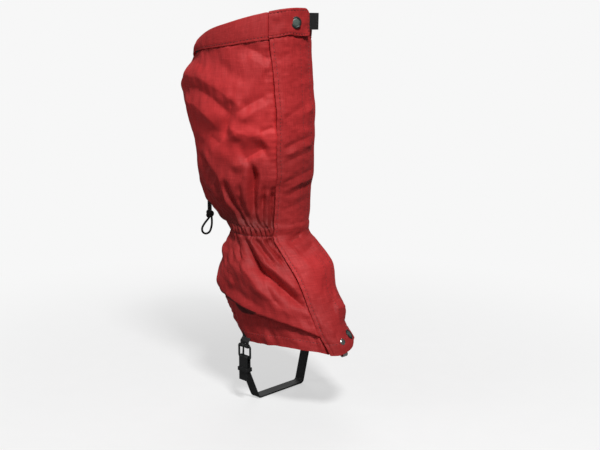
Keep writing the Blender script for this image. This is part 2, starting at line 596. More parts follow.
def stitches(b, pts, nrm, pitch=4.2, length=2.9, r=0.36, lift=0.10, mat=1):
    """Thread stitches lying on a line of points with outward normals."""
    pts, nrm = np.asarray(pts, float), np.asarray(nrm, float)
    seg = np.linalg.norm(np.diff(pts, axis=0), axis=1)
    s = np.concatenate([[0], np.cumsum(seg)])
    count = int((s[-1] - length) / pitch)
    if count < 1:
        return
    starts = (np.arange(count) + 0.5) * (s[-1] / count) - length / 2
    prof = np.array([(0.0, 0.35, -0.22), (0.18, 0.85, 0.02), (0.5, 1.0, 0.12), (0.82, 0.85, 0.02), (1.0, 0.35, -0.22)])
    sides = 6
    a = np.linspace(0, 2 * math.pi, sides, endpoint=False)
    V, F = [], []
    base = 0
    for s0 in starts:
        q = s0 + prof[:, 0] * length
        c = np.stack([np.interp(q, s, pts[:, k]) for k in range(3)], -1)
        n = np.stack([np.interp(q, s, nrm[:, k]) for k in range(3)], -1)
        n /= np.linalg.norm(n, axis=1, keepdims=True)
        t = c[-1] - c[0]
        t /= np.linalg.norm(t) + 1e-12
        w = np.cross(n, t)
        w /= np.linalg.norm(w, axis=1, keepdims=True)
        c = c + n * (lift + prof[:, 2:3])
        ring = c[:, None] + r * prof[:, 1][:, None, None] * (np.cos(a)[None, :, None] * w[:, None] + np.sin(a)[None, :, None] * n[:, None])
        V.append(ring.reshape(-1, 3))
        k = len(prof)
        i, j = np.meshgrid(np.arange(k - 1), np.arange(sides), indexing="ij")
        f = np.stack([i * sides + j, i * sides + (j + 1) % sides, (i + 1) * sides + (j + 1) % sides, (i + 1) * sides + j], -1).reshape(-1, 4)
        F.append(f + base)
        # end caps as two quads each
        for e in (0, (k - 1) * sides):
            cap = np.array([[0, 1, 2, 3], [0, 3, 4, 5]]) + e + base
            F.append(cap if e else cap[:, ::-1])
        base += k * sides
    b.add(np.concatenate(V), np.concatenate(F), mat)


def ribbon(b, path, side, width, thick, mat=0, corner=0.6, cols=5, closed=False, holes=None):
    """Flat strap with rounded edges. side: unit vector across the strap."""
    path = np.asarray(path, float)
    n = len(path)
    t = frames_along(path) if not closed else None
    if closed:
        t = np.roll(path, -1, 0) - np.roll(path, 1, 0)
        t /= np.linalg.norm(t, axis=1, keepdims=True)
    side = np.broadcast_to(np.asarray(side, float), (n, 3))
    nn = np.cross(side, t)
    nn /= np.linalg.norm(nn, axis=1, keepdims=True)
    hw, ht, c = width / 2, thick / 2, min(corner, thick / 2 * 0.98)
    prof = []
    for x in np.linspace(-hw + c, hw - c, cols):
        prof.append((x, ht))
    for k in range(1, 4):
        a = math.pi / 2 * (1 - k / 4)
        prof.append((hw - c + c * math.cos(a), ht - c + c * math.sin(a)))
    prof.append((hw, 0))
    half = list(prof)
    for x, y in reversed(half[:-1]):
        prof.append((x, -y))
    for x, y in [(-hw + c - c * math.sin(math.pi / 8 * k * 1.0), -(ht - c + c * math.cos(math.pi / 8 * k))) for k in range(1, 4)]:
        prof.append((x, y))
    prof.append((-hw, 0))
    for x, y in [(-hw + c - c * math.cos(math.pi / 8 * k), ht - c + c * math.sin(math.pi / 8 * k)) for k in range(1, 4)]:
        prof.append((x, y))
    prof = np.array(prof)
    m = len(prof)
    R = path[:, None] + side[:, None] * prof[None, :, 0:1] + nn[:, None] * prof[None, :, 1:2]
    s = np.concatenate([[0], np.cumsum(np.linalg.norm(np.diff(path, axis=0), axis=1))])
    uv = np.stack(np.broadcast_arrays(prof[None, :, 0] + hw, s[:, None]), -1)
    i, j = np.meshgrid(np.arange(n if closed else n - 1), np.arange(m), indexing="ij")
    i2, j2 = (i + 1) % n, (j + 1) % m
    F = np.stack([i * m + j, i2 * m + j, i2 * m + j2, i * m + j2], -1).reshape(-1, 4)
    b.add(R.reshape(-1, 3), F, mat, uv)
    if not closed:
        for e in (0, n - 1):
            c0 = R[e].mean(0)
            k = np.arange(m)
            fan = np.stack([k, (k + 1) % m, np.full(m, m)], -1)
            if e == 0:
                pass
            else:
                fan = fan[:, ::-1]
            b.add(np.concatenate([R[e], c0[None]]), fan, mat)


def lathe(b, origin, axis, prof, sides=40, mat=0):
    """Turned piece: prof is a list of (radius, height) from one end of the axis to the other; r = 0 closes it."""
    axis = np.asarray(axis, float) / np.linalg.norm(axis)
    ref = np.array([0, 0, 1.0]) if abs(axis[2]) < 0.9 else np.array([1.0, 0, 0])
    x = np.cross(ref, axis)
    x /= np.linalg.norm(x)
    y = np.cross(axis, x)
    a = np.linspace(0, 2 * math.pi, sides, endpoint=False)
    V = []
    for r, h in prof:
        V.append(origin + axis * h + max(r, 1e-3) * (np.cos(a)[:, None] * x + np.sin(a)[:, None] * y))
    V = np.array(V)
    n = len(prof)
    i, j = np.meshgrid(np.arange(n - 1), np.arange(sides), indexing="ij")
    F = np.stack([i * sides + j, i * sides + (j + 1) % sides, (i + 1) * sides + (j + 1) % sides, (i + 1) * sides + j], -1).reshape(-1, 4)
    b.add(V.reshape(-1, 3), F, mat)
    for e in (0, n - 1):
        if prof[e][0] > 1e-3:
            c = origin + axis * prof[e][1]
            k = np.arange(sides)
            fan = np.stack([k, (k + 1) % sides, np.full(sides, sides)], -1)
            b.add(np.concatenate([V[e], c[None]]), fan[:, ::-1] if e == 0 else fan, mat)


# ---------------------------------------------------------------------------
# materials
# ---------------------------------------------------------------------------
def srgb(r, g, b):
    f = lambda c: (c / 255 / 12.92) if c / 255 <= 0.04045 else ((c / 255 + 0.055) / 1.055) ** 2.4
    return (f(r), f(g), f(b), 1.0)


def new_mat(name):
    m = bpy.data.materials.new(name)
    m.use_nodes = True
    nt = m.node_tree
    p = nt.nodes["Principled BSDF"]
    return m, nt, p


def node(nt, kind, **kw):
    n = nt.nodes.new(kind)
    for k, v in kw.items():
        if k in n.inputs.keys() if hasattr(n.inputs, "keys") else False:
            n.inputs[k].default_value = v
        else:
            setattr(n, k, v)
    return n


def mapping(nt, scale, coord="UV", rot=0.0):
    tc = nt.nodes.new("ShaderNodeTexCoord")
    mp = nt.nodes.new("ShaderNodeMapping")
    mp.inputs["Scale"].default_value = scale
    mp.inputs["Rotation"].default_value = (0, 0, rot)
    nt.links.new(tc.outputs[coord], mp.inputs["Vector"])
    return mp.outputs["Vector"]


def noise(nt, vec, scale, detail=3.0, rough=0.55):
    n = nt.nodes.new("ShaderNodeTexNoise")
    n.inputs["Scale"].default_value = scale
    n.inputs["Detail"].default_value = detail
    n.inputs["Roughness"].default_value = rough
    if vec is not None:
        nt.links.new(vec, n.inputs["Vector"])
    return n.outputs["Fac"]


def math_node(nt, op, a, b=None, c=None):
    n = nt.nodes.new("ShaderNodeMath")
    n.operation = op
    for i, v in enumerate((a, b, c)):
        if v is None:
            continue
        if isinstance(v, (int, float)):
            n.inputs[i].default_value = v
        else:
            nt.links.new(v, n.inputs[i])
    return n.outputs[0]


def ramp(nt, fac, stops):
    r = nt.nodes.new("ShaderNodeValToRGB")
    while len(r.color_ramp.elements) < len(stops):
        r.color_ramp.elements.new(0.5)
    for e, (pos, col) in zip(r.color_ramp.elements, stops):
        e.position = pos
        e.color = col
    nt.links.new(fac, r.inputs["Fac"])
    return r.outputs["Color"]


def bump(nt, height, strength, dist, prev=None):
    n = nt.nodes.new("ShaderNodeBump")
    n.inputs["Strength"].default_value = strength
    n.inputs["Distance"].default_value = dist
    nt.links.new(height, n.inputs["Height"])
    if prev is not None:
        nt.links.new(prev, n.inputs["Normal"])
    return n.outputs["Normal"]


def cloth_material(name, dark, mid, light, weave=105.0, slub=1.0, rough=0.60, sheen=0.24, spec=0.28, shade=None, lift=None, slit=None):
    """Plain-weave nylon with slubs. UV is in units of 100 mm, so weave=105 gives a 0.95 mm yarn pair."""
    m, nt, p = new_mat(name)
    uv = mapping(nt, (1, 1, 1))
    # yarns: warp and weft, over and under
    w1 = nt.nodes.new("ShaderNodeTexWave")
    w1.bands_direction = "X"
    w1.inputs["Scale"].default_value = weave / 6.2832 * 2
    w1.inputs["Distortion"].default_value = 0.6
    w1.inputs["Detail Scale"].default_value = 1.0
    w2 = nt.nodes.new("ShaderNodeTexWave")
    w2.bands_direction = "Y"
    w2.inputs["Scale"].default_value = weave / 6.2832 * 2
    w2.inputs["Distortion"].default_value = 0.6
    nt.links.new(uv, w1.inputs["Vector"])
    nt.links.new(uv, w2.inputs["Vector"])
    weave_h = math_node(nt, "MULTIPLY", w1.outputs["Fac"], w2.outputs["Fac"])
    # slubs: long thin noise along both yarn directions
    warp = noise(nt, mapping(nt, (62, 7, 1)), 1.0, 2.0)
    weft = noise(nt, mapping(nt, (6, 70, 1)), 1.0, 2.0)
    broad = noise(nt, mapping(nt, (1, 1, 1)), 2.4, 4.0, 0.6)
    fine = noise(nt, mapping(nt, (1, 1, 1)), 130.0, 2.0, 0.5)
    mix = math_node(nt, "MULTIPLY_ADD", warp, 0.36 * slub, math_node(nt, "MULTIPLY", weft, 0.36 * slub))
    mix = math_node(nt, "ADD", mix, math_node(nt, "MULTIPLY", broad, 0.24))
    mix = math_node(nt, "ADD", mix, math_node(nt, "MULTIPLY", fine, 0.10))
    mix = math_node(nt, "ADD", mix, math_node(nt, "MULTIPLY", weave_h, 0.12))
    col = ramp(nt, mix, [(0.30, dark), (0.56, mid), (0.80, light)])
    if shade:
        # the gathers hold dye and dust: darker cloth by height
        tc = nt.nodes.new("ShaderNodeTexCoord")
        sp = nt.nodes.new("ShaderNodeSeparateXYZ")
        nt.links.new(tc.outputs["Object"], sp.inputs[0])
        zf = math_node(nt, "MULTIPLY_ADD", sp.outputs["Z"], 1000.0 / 440.0, 150.0 / 440.0)
        stops = [((z + 150.0) / 440.0, (f, f, f, 1)) for z, f in sorted(shade)]
        mixc = nt.nodes.new("ShaderNodeMix")
        mixc.data_type = "RGBA"
        nt.links.new(ramp(nt, zf, stops), mixc.inputs["Factor"])
        nt.links.new(col, mixc.inputs[6])
        mixc.inputs[7].default_value = srgb(62, 27, 22)
        col = mixc.outputs[2]
        if lift:
            stops = [((z + 150.0) / 440.0, (f, f, f, 1)) for z, f in sorted(lift)]
            mixl = nt.nodes.new("ShaderNodeMix")
            mixl.data_type = "RGBA"
            nt.links.new(ramp(nt, zf, stops), mixl.inputs["Factor"])
            nt.links.new(col, mixl.inputs[6])
            mixl.inputs[7].default_value = srgb(236, 60, 62)
            col = mixl.outputs[2]
        if slit:
            # deep shade inside the fold: a tapered sliver below the line from a to b
            a, b_, reach = slit
            ab = np.array(b_[:2]) - np.array(a[:2])
            ux, uy = ab / (ab @ ab)
            t = math_node(nt, "MULTIPLY_ADD", sp.outputs["X"], float(ux), float(-(a[0] * ux + a[1] * uy)))
            t = math_node(nt, "ADD", t, math_node(nt, "MULTIPLY", sp.outputs["Y"], float(uy)))
            taper = math_node(nt, "MULTIPLY", math_node(nt, "MULTIPLY", t, math_node(nt, "SUBTRACT", 1.0, t)), 4.0)
            taper = math_node(nt, "MAXIMUM", taper, 0.0)
            line = math_node(nt, "MULTIPLY_ADD", t, float(b_[2] - a[2]), float(a[2]))
            below = math_node(nt, "SUBTRACT", line, sp.outputs["Z"])
            deep = math_node(nt, "MULTIPLY", taper, reach)
            edge = nt.nodes.new("ShaderNodeMapRange")
            edge.interpolation_type = "SMOOTHSTEP"
            edge.inputs["From Min"].default_value = -0.0008
            edge.inputs["From Max"].default_value = 0.0022
            nt.links.new(math_node(nt, "SUBTRACT", deep, below), edge.inputs["Value"])
            top = math_node(nt, "GREATER_THAN", below, -0.0004)
            side = math_node(nt, "LESS_THAN", sp.outputs["X"], 0.0)
            fac = math_node(nt, "MULTIPLY", math_node(nt, "MULTIPLY", edge.outputs["Result"], top), side)
            fac = math_node(nt, "MULTIPLY", fac, math_node(nt, "GREATER_THAN", taper, 0.02))
            mixs = nt.nodes.new("ShaderNodeMix")
            mixs.data_type = "RGBA"
            nt.links.new(math_node(nt, "MULTIPLY", fac, 0.86), mixs.inputs["Factor"])
            nt.links.new(col, mixs.inputs[6])
            mixs.inputs[7].default_value = srgb(26, 13, 11)
            col = mixs.outputs[2]
    nt.links.new(col, p.inputs["Base Color"])
    p.inputs["Roughness"].default_value = rough
    rr = nt.nodes.new("ShaderNodeMapRange")
    rr.inputs["From Min"].default_value = 0.3
    rr.inputs["From Max"].default_value = 0.8
    rr.inputs["To Min"].default_value = rough + 0.10
    rr.inputs["To Max"].default_value = rough - 0.08
    nt.links.new(mix, rr.inputs["Value"])
    nt.links.new(rr.outputs["Result"], p.inputs["Roughness"])
    p.inputs["Specular IOR Level"].default_value = spec
    p.inputs["Sheen Weight"].default_value = sheen
    p.inputs["Sheen Roughness"].default_value = 0.45
    p.inputs["Sheen Tint"].default_value = (min(1, light[0] * 1.6), light[1] * 1.5 + 0.05, light[2] * 1.5 + 0.05, 1)
    n1 = bump(nt, weave_h, 0.35, 0.00022)
    n2 = bump(nt, math_node(nt, "ADD", warp, weft), 0.35, 0.0004, n1)
    nt.links.new(n2, p.inputs["Normal"])
    return m


RED_D, RED_M, RED_L = srgb(150, 33, 35), srgb(181, 43, 45), srgb(206, 60, 61)
slit_f = np.radians([-116.0, -73.0])
slit_z = pchip(TUCK_D, TUCK_Z, np.degrees(slit_f))
slit_p = point(slit_f, slit_z) / 1000.0
red = cloth_material("red_cloth", RED_D, RED_M, RED_L, shade=[
    (-140, 0.22), (-122, 0.16), (-105, 0.09), (-62, 0.11), (-51, 0.07), (-39, 0.19), (-26, 0.28), (-13, 0.38), (0, 0.43), (13, 0.68), (26, 0.43),
    (38, 0.31), (51, 0.25), (64, 0.14), (86, 0.10), (99, 0.0), (228, 0.0), (242, 0.12)],
    lift=[(92, 0.0), (106, 0.34), (134, 0.40), (152, 0.24), (166, 0.12), (184, 0.20), (202, 0.0)],
    slit=(slit_p[0], slit_p[1], 0.0150))
red_flap = cloth_material("red_cloth_flap", RED_D, RED_M, RED_L, shade=[
    (-130, 0.26), (-108, 0.18), (-84, 0.17), (-68, 0.04), (-28, 0.0), (-14, 0.16), (-4, 0.21), (40, 0.22), (74, 0.24), (94, 0.28), (114, 0.12), (124, 0.0),
    (228, 0.0), (242, 0.10)],
    lift=[(-70, 0.0), (-60, 0.12), (-42, 0.16), (-30, 0.10), (-22, 0.0)])
red_in = cloth_material("red_cloth_inside", srgb(112, 22, 24), srgb(136, 28, 30), srgb(158, 38, 40), rough=0.5, sheen=0.1, spec=0.4)


def thread_material(name, dark, light):
    m, nt, p = new_mat(name)
    n = noise(nt, mapping(nt, (1, 1, 1), "Object"), 900.0, 2.0)
    nt.links.new(ramp(nt, n, [(0.3, dark), (0.7, light)]), p.inputs["Base Color"])
    p.inputs["Roughness"].default_value = 0.55
    p.inputs["Sheen Weight"].default_value = 0.2
    nt.links.new(bump(nt, n, 0.4, 0.0002), p.inputs["Normal"])
    return m


red_thread = thread_material("red_thread", srgb(84, 14, 17), srgb(128, 26, 29))
black_thread = thread_material("black_thread", srgb(16, 16, 17), srgb(34, 34, 35))


def webbing_material(name, base, light, rib=42.0, along="Y", rough=0.7):
    m, nt, p = new_mat(name)
    uv = mapping(nt, (1, 1, 1))
    w1 = nt.nodes.new("ShaderNodeTexWave")
    w1.bands_direction = along
    w1.inputs["Scale"].default_value = rib / 6.2832 * 2
    w1.inputs["Distortion"].default_value = 0.4
    w2 = nt.nodes.new("ShaderNodeTexWave")
    w2.bands_direction = "X" if along == "Y" else "Y"
    w2.inputs["Scale"].default_value = rib * 1.8 / 6.2832 * 2
    w2.inputs["Distortion"].default_value = 0.8
    nt.links.new(uv, w1.inputs["Vector"])
    nt.links.new(uv, w2.inputs["Vector"])
    h = math_node(nt, "MULTIPLY_ADD", w1.outputs["Fac"], 0.7, math_node(nt, "MULTIPLY", w2.outputs["Fac"], 0.3))
    f = math_node(nt, "MULTIPLY_ADD", noise(nt, mapping(nt, (1, 1, 1), "Object"), 420.0, 3.0), 0.5, math_node(nt, "MULTIPLY", h, 0.5))
    nt.links.new(ramp(nt, f, [(0.25, base), (0.8, light)]), p.inputs["Base Color"])
    p.inputs["Roughness"].default_value = rough
    p.inputs["Specular IOR Level"].default_value = 0.3
    p.inputs["Sheen Weight"].default_value = 0.08
    p.inputs["Sheen Roughness"].default_value = 0.5
    nt.links.new(bump(nt, h, 0.7, 0.0005), p.inputs["Normal"])
    return m


webbing = webbing_material("black_webbing", srgb(11, 11, 12), srgb(33, 34, 35))
elastic_mat = webbing_material("elastic_band", srgb(22, 22, 23), srgb(52, 52, 54), rib=70.0, along="X")


def cord_material():
    m, nt, p = new_mat("braided_cord")
    uv = mapping(nt, (1, 1, 1), "UV", 0.6)
    w1 = nt.nodes.new("ShaderNodeTexWave")
    w1.bands_direction = "DIAGONAL"
    w1.inputs["Scale"].default_value = 16.0
    w1.inputs["Distortion"].default_value = 0.5
    nt.links.new(uv, w1.inputs["Vector"])
    uv2 = mapping(nt, (-1, 1, 1), "UV", -0.6)
    w2 = nt.nodes.new("ShaderNodeTexWave")
    w2.bands_direction = "DIAGONAL"
    w2.inputs["Scale"].default_value = 16.0
    nt.links.new(uv2, w2.inputs["Vector"])
    h = math_node(nt, "MAXIMUM", w1.outputs["Fac"], w2.outputs["Fac"])
    nt.links.new(ramp(nt, h, [(0.2, srgb(9, 9, 9)), (0.9, srgb(36, 37, 36))]), p.inputs["Base Color"])
    p.inputs["Roughness"].default_value = 0.62
    p.inputs["Sheen Weight"].default_value = 0.15
    nt.links.new(bump(nt, h, 0.8, 0.0004), p.inputs["Normal"])
    return m


cord_mat = cord_material()


def rubber_material():
    m, nt, p = new_mat("strap_rubber")
    n1 = noise(nt, mapping(nt, (1, 1, 1), "Object"), 60.0, 4.0)
    n2 = noise(nt, mapping(nt, (1, 1, 1), "Object"), 1500.0, 2.0)
    geo = nt.nodes.new("ShaderNodeNewGeometry")
    edge = math_node(nt, "MULTIPLY", math_node(nt, "SUBTRACT", geo.outputs["Pointiness"], 0.5), 6.0)
    f = math_node(nt, "ADD", math_node(nt, "MULTIPLY", n1, 0.7), edge)
    nt.links.new(ramp(nt, f, [(0.2, srgb(22, 23, 24)), (0.6, srgb(38, 39, 40)), (0.95, srgb(70, 71, 71))]), p.inputs["Base Color"])
    rr = math_node(nt, "MULTIPLY_ADD", n1, 0.25, 0.42)
    nt.links.new(rr, p.inputs["Roughness"])
    nt.links.new(bump(nt, n2, 0.25, 0.0002, bump(nt, n1, 0.15, 0.001)), p.inputs["Normal"])
    return m


rubber = rubber_material()


def metal_material(name, base, light, rough=0.35, metal=1.0, scratch=0.5):
    m, nt, p = new_mat(name)
    n1 = noise(nt, mapping(nt, (1, 1, 1), "Object"), 220.0, 4.0)
    n2 = noise(nt, mapping(nt, (1, 9, 1), "Object"), 900.0, 3.0)
    geo = nt.nodes.new("ShaderNodeNewGeometry")
    edge = math_node(nt, "MULTIPLY", math_node(nt, "SUBTRACT", geo.outputs["Pointiness"], 0.5), 5.0)
    f = math_node(nt, "ADD", n1, edge)
    nt.links.new(ramp(nt, f, [(0.3, base), (0.85, light)]), p.inputs["Base Color"])
    p.inputs["Metallic"].default_value = metal
    nt.links.new(math_node(nt, "MULTIPLY_ADD", n2, scratch * 0.3, rough - scratch * 0.15), p.inputs["Roughness"])
    nt.links.new(bump(nt, n2, 0.12, 0.0001), p.inputs["Normal"])
    return m


gunmetal = metal_material("gunmetal", srgb(30, 33, 33), srgb(66, 70, 69), rough=0.42, metal=0.7)
gunmetal_cap = metal_material("gunmetal_cap", srgb(70, 82, 78), srgb(98, 110, 104), rough=0.45, metal=0.45)
nickel = metal_material("nickel", srgb(168, 168, 164), srgb(214, 214, 210), rough=0.25)


def plastic_material():
    m, nt, p = new_mat("moulded_plastic")
    n = noise(nt, mapping(nt, (1, 1, 1), "Object"), 2600.0, 2.0)
    n1 = noise(nt, mapping(nt, (1, 1, 1), "Object"), 90.0, 3.0)
    nt.links.new(ramp(nt, n1, [(0.3, srgb(20, 20, 21)), (0.8, srgb(34, 34, 35))]), p.inputs["Base Color"])
    nt.links.new(math_node(nt, "MULTIPLY_ADD", n1, 0.2, 0.38), p.inputs["Roughness"])
    nt.links.new(bump(nt, n, 0.2, 0.0001), p.inputs["Normal"])
    return m


plastic = plastic_material()


def pile_material(name, hook):
    m, nt, p = new_mat(name)
    v = nt.nodes.new("ShaderNodeTexVoronoi")
    v.inputs["Scale"].default_value = 90.0 if hook else 60.0
    nt.links.new(mapping(nt, (1, 1, 1)), v.inputs["Vector"])
    n = noise(nt, mapping(nt, (1, 1, 1)), 160.0, 4.0)
    h = math_node(nt, "SUBTRACT", n, v.outputs["Distance"])
    nt.links.new(ramp(nt, n, [(0.3, srgb(20, 20, 21)), (0.75, srgb(54, 54, 56))]), p.inputs["Base Color"])
    p.inputs["Roughness"].default_value = 0.85
    p.inputs["Sheen Weight"].default_value = 0.5
    nt.links.new(bump(nt, h, 0.9, 0.0012), p.inputs["Normal"])
    return m


hook_mat = pile_material("hook_tape_pile", True)
loop_mat = pile_material("loop_tape_pile", False)

# ---------------------------------------------------------------------------
# shell: outer panel and inner panel, hem to cuff
# ---------------------------------------------------------------------------
step = 1.0
SPLIT = 18.0


def rows_for(zlo, zhi, d):
    n = max(3, int((zhi - zlo) / d))
    return np.linspace(0, 1, n + 1)


def shell_grid(phi_fn_a, phi_fn_b, ncols):
    """Grid from angle a(z) to angle b(z), hem to cuff seam. Rows are level at the waist."""
    s = np.linspace(0, 1, ncols)
    blocks = []
    for zone, t in (("low", rows_for(-137, -SPLIT, step)), ("mid", rows_for(-SPLIT, SPLIT, step * 0.75)), ("top", rows_for(SPLIT, 240, step))):
        if blocks:
            t = t[1:]
        T, S = np.meshgrid(t, s, indexing="ij")
        Z = {"low": -137 + T * (137 - SPLIT), "mid": -SPLIT + 2 * SPLIT * T, "top": SPLIT + T * (240 - SPLIT)}[zone]
        for _ in range(3 if zone != "mid" else 1):
            A, B = phi_fn_a(Z), phi_fn_b(Z)
            F = A + (B - A) * S
            if zone == "low":
                lo = hem_z(F)
                Z = lo + T * (-SPLIT - lo)
            elif zone == "top":
                hi = on_plane(F, band_z) + 1.0
                Z = SPLIT + T * (hi - SPLIT)
        blocks.append((F, Z))
    return np.concatenate([b[0] for b in blocks]), np.concatenate([b[1] for b in blocks])


def surface(F, Z, H):
    P = point(F, Z) + normal(F, Z) * H[..., None]
    # the lip of the lower tuck hangs over the cloth below it
    d = np.degrees(F)
    dep = np.where((d > -132) & (d < -18), pchip(TUCK_D, TUCK_DEPTH, d), 0)
    s = Z - pchip(TUCK_D, TUCK_Z, d)
    P[..., 2] -= np.where(s > -0.2, 0.36 * dep * np.exp(-((s / 4.5) ** 2)), 0)
    return P


def line_on(fn_phi, zs, relief, lift=0.0):
    """Points and normals on the relief at angle fn_phi(z) for heights zs."""
    F = fn_phi(zs)
    H = relief(F, zs)
    N = normal(F, zs)
    return point(F, zs) + N * (H + lift)[..., None], N


def uv_of(F, Z):
    return np.stack([arc(F, Z), Z + 200], -1)


shell_t = 0.9
outer = Build()
F, Z = shell_grid(lambda z: np.full_like(z, -math.pi), lambda z: seam_phi(z) + 0.03, int(190 / step))
slab(outer, surface(F, Z, shell_relief(F, Z)), shell_t, 0, uv_of(F, Z), inner_mat=2)
zs = np.arange(-120, 236, 1.0)
# hem stitches and waist stitch rows
for lo, hi, off in ((-179, -24, 11.6),):
    f = np.radians(np.linspace(lo, hi, 500))
    z = hem_z(f) + off
    stitches(outer, point(f, z) + normal(f, z) * (shell_relief(f, z) + 0.05)[:, None], normal(f, z))
for zrow in (WZ - 5.6, WZ + 5.6):
    f = np.radians(np.linspace(-179, -39, 700))
    z = np.full_like(f, zrow)
    stitches(outer, point(f, z) + normal(f, z) * (shell_relief(f, z) + 0.05)[:, None], normal(f, z), pitch=3.4, length=2.3)
shell_outer = outer.make("shell_outer_panel", [red, red_thread, red_in])

inner = Build()
F, Z = shell_grid(lambda z: phi_at_x(-24 + 0 * z, z), lambda z: np.full_like(z, math.pi), int(235 / step))
slab(inner, surface(F, Z, shell_relief(F, Z)), shell_t, 0, uv_of(F, Z), inner_mat=2)
f = np.radians(np.linspace(35, 179, 500))
z = hem_z(f) + 11.6
stitches(inner, point(f, z) + normal(f, z) * (shell_relief(f, z) + 0.05)[:, None], normal(f, z))
for zrow in (WZ - 5.6, WZ + 5.6):
    f = np.radians(np.linspace(41, 179, 700))
    z = np.full_like(f, zrow)
    stitches(inner, point(f, z) + normal(f, z) * (shell_relief(f, z) + 0.05)[:, None], normal(f, z), pitch=3.4, length=2.3)
for db in (1.6, 4.0):
    zz = np.linspace(-100, 214, 900)
    ff = math.pi - db / 75 + 0 * zz
    stitches(inner, point(ff, zz) + normal(ff, zz) * (shell_relief(ff, zz) + 0.05)[:, None], normal(ff, zz))
shell_inner = inner.make("shell_inner_panel", [red, red_thread, red_in])

for ob in (shell_outer, shell_inner):
    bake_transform(ob)
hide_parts("calf_panel_right", "foot_panel_right", "waist_sleeve")
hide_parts("calf_panel_left", "foot_panel_left")

# ---------------------------------------------------------------------------
# storm flap in three lengths that meet exactly
# ---------------------------------------------------------------------------
flap_t = 1.0


def flap_grid(zone, ncols):
    s = np.linspace(0, 1, ncols)
    s = s + 0.04 * np.sin(2 * math.pi * s) * -1
    if zone == "low":
        t = rows_for(-137, -SPLIT, step)
    elif zone == "mid":
        t = rows_for(-SPLIT, SPLIT, step * 0.75)
    else:
        t = rows_for(SPLIT, 243, step)
    T, S = np.meshgrid(t, s, indexing="ij")
    Z = {"low": -137 + T * (137 - SPLIT), "mid": -SPLIT + 2 * SPLIT * T, "top": SPLIT + T * (243 - SPLIT)}[zone]
    for _ in range(3 if zone != "mid" else 1):
        A, B = seam_phi(Z), edge_phi(Z)
        F = A + (B - A) * S
        if zone == "low":
            lo = hem_z(F) - 1.2
            Z = lo + T * (-SPLIT - lo)
        elif zone == "top":
            hi = on_plane(F, band_z) + 2.0
            Z = SPLIT + T * (hi - SPLIT)
    return F, Z, S


def flap_point(F, Z, S, lift=0.0):
    H = flap_relief(F, Z, S) + lift
    return point(F, Z) + normal(F, Z) * H[..., None]


flaps = {}
for zone, name in (("top", "storm_flap_top"), ("mid", "storm_flap_middle"), ("low", "storm_flap_bottom")):
    b = Build()
    F, Z, S = flap_grid(zone, int(66 / step))
    slab(b, flap_point(F, Z, S), flap_t, 0, uv_of(F, Z) + np.array([37.0, 11.0]), inner_mat=2)
    zr = {"top": (SPLIT + 1, 238), "mid": (-SPLIT + 1, SPLIT - 1), "low": (-131, -SPLIT - 1)}[zone]
    zz = np.arange(zr[0], zr[1], 1.0)
    for dist in (4.3,):
        ff = seam_phi(zz) + dist / 70
        stitches(b, flap_point(ff, zz, 0 * zz, 0.05), normal(ff, zz))
    ff = edge_phi(zz) - 10.5 / 65
    stitches(b, flap_point(ff, zz, 0 * zz + 0.9, 0.05), normal(ff, zz))
    if zone != "mid":
        lo, hi = (28, 236) if zone == "top" else (-110, -26)
        zz = np.arange(lo, hi, 1.0)
        ff = phi_at_x(7.0 + 0 * zz, zz)
        stitches(b, flap_point(ff, zz, 0 * zz + 0.6, 0.04), normal(ff, zz), r=0.24)
    if zone == "low":
        f = np.linspace(float(seam_phi(np.array(-126.0))) + 0.06, float(edge_phi(np.array(-124.0))) - 0.02, 160)
        z = hem_z(f) + 11.6
        stitches(b, flap_point(f, z, 0 * f, 0.05), normal(f, z))
    ob = b.make(name, [red_flap, red_thread, red_in])
    flaps[zone] = ob
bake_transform(flaps["top"])
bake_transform(flaps["mid"])
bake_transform(flaps["low"])
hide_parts("storm_flap_upper")
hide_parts("storm_flap_waist")
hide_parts("storm_flap_lower")

# ---------------------------------------------------------------------------
# cuff band: padded casing round the top
# ---------------------------------------------------------------------------


def band_surface(phi, kind, t):
    """One ring line of the casing: t 0..1 up the outside, over the rim and down the inside."""
    zb = on_plane(phi, band_z)
    zr = on_plane(phi, rim_z)
    U = arc(phi, zb)
    ripple = 0.35 * waves(U, 0 * U, 21, 10, 26, 70) + 0.22 * waves(U, 0 * U + 5, 22, 10, 9, 18)
    if kind == "out":
        z = zb - 0.8 + (zr - 1.6 - zb) * t
        off = 0.5 + 1.9 * np.sin(math.pi * np.clip(0.06 + 0.90 * t, 0, 1)) ** 0.6 + ripple * np.sin(math.pi * t)
        off -= 0.35 * math.exp(-(((t - 0.12) / 0.03) ** 2))
        x = point(phi, z)[..., 0]
        under = smooth((x + 37) / 4.5) * smooth((32 - x) / 6) * (np.abs(phi) < 1.3)
        return phi, z, off - under * (off + 0.2)
    if kind == "rim":
        a = math.pi * t
        c, r = -0.5, 1.55
        x = point(phi, zr)[..., 0]
        under = smooth((x + 37) / 4.5) * smooth((32 - x) / 6) * (np.abs(phi) < 1.3)
        return phi, zr - 1.6 + r * math.sin(a) * 1.15 + 0.15 * ripple - 1.2 * under, c + (1.6 - 1.0 * under) * math.cos(a) - 0.6 * under
    z = zr - 1.6 - (zr - 2.4 - zb) * t
    off = -2.0 - 1.3 * np.sin(math.pi * t) ** 0.7 - 0.2 * ripple + 1.0 * smooth((t - 0.9) / 0.1)
    return phi, z, off


def band_ring(phi):
    rows = []
    for t in np.linspace(0, 1, 24):
        rows.append(band_surface(phi, "out", t))
    for t in np.linspace(0.08, 0.92, 8):
        rows.append(band_surface(phi, "rim", t))
    for t in np.linspace(0, 1, 14):
        rows.append(band_surface(phi, "in", t))
    P = []
    for p, z, off in rows:
        N = normal(p, z)
        P.append(point(p, z) + N * np.broadcast_to(off, p.shape)[..., None])
    return np.array(P)      # rows x phi x 3


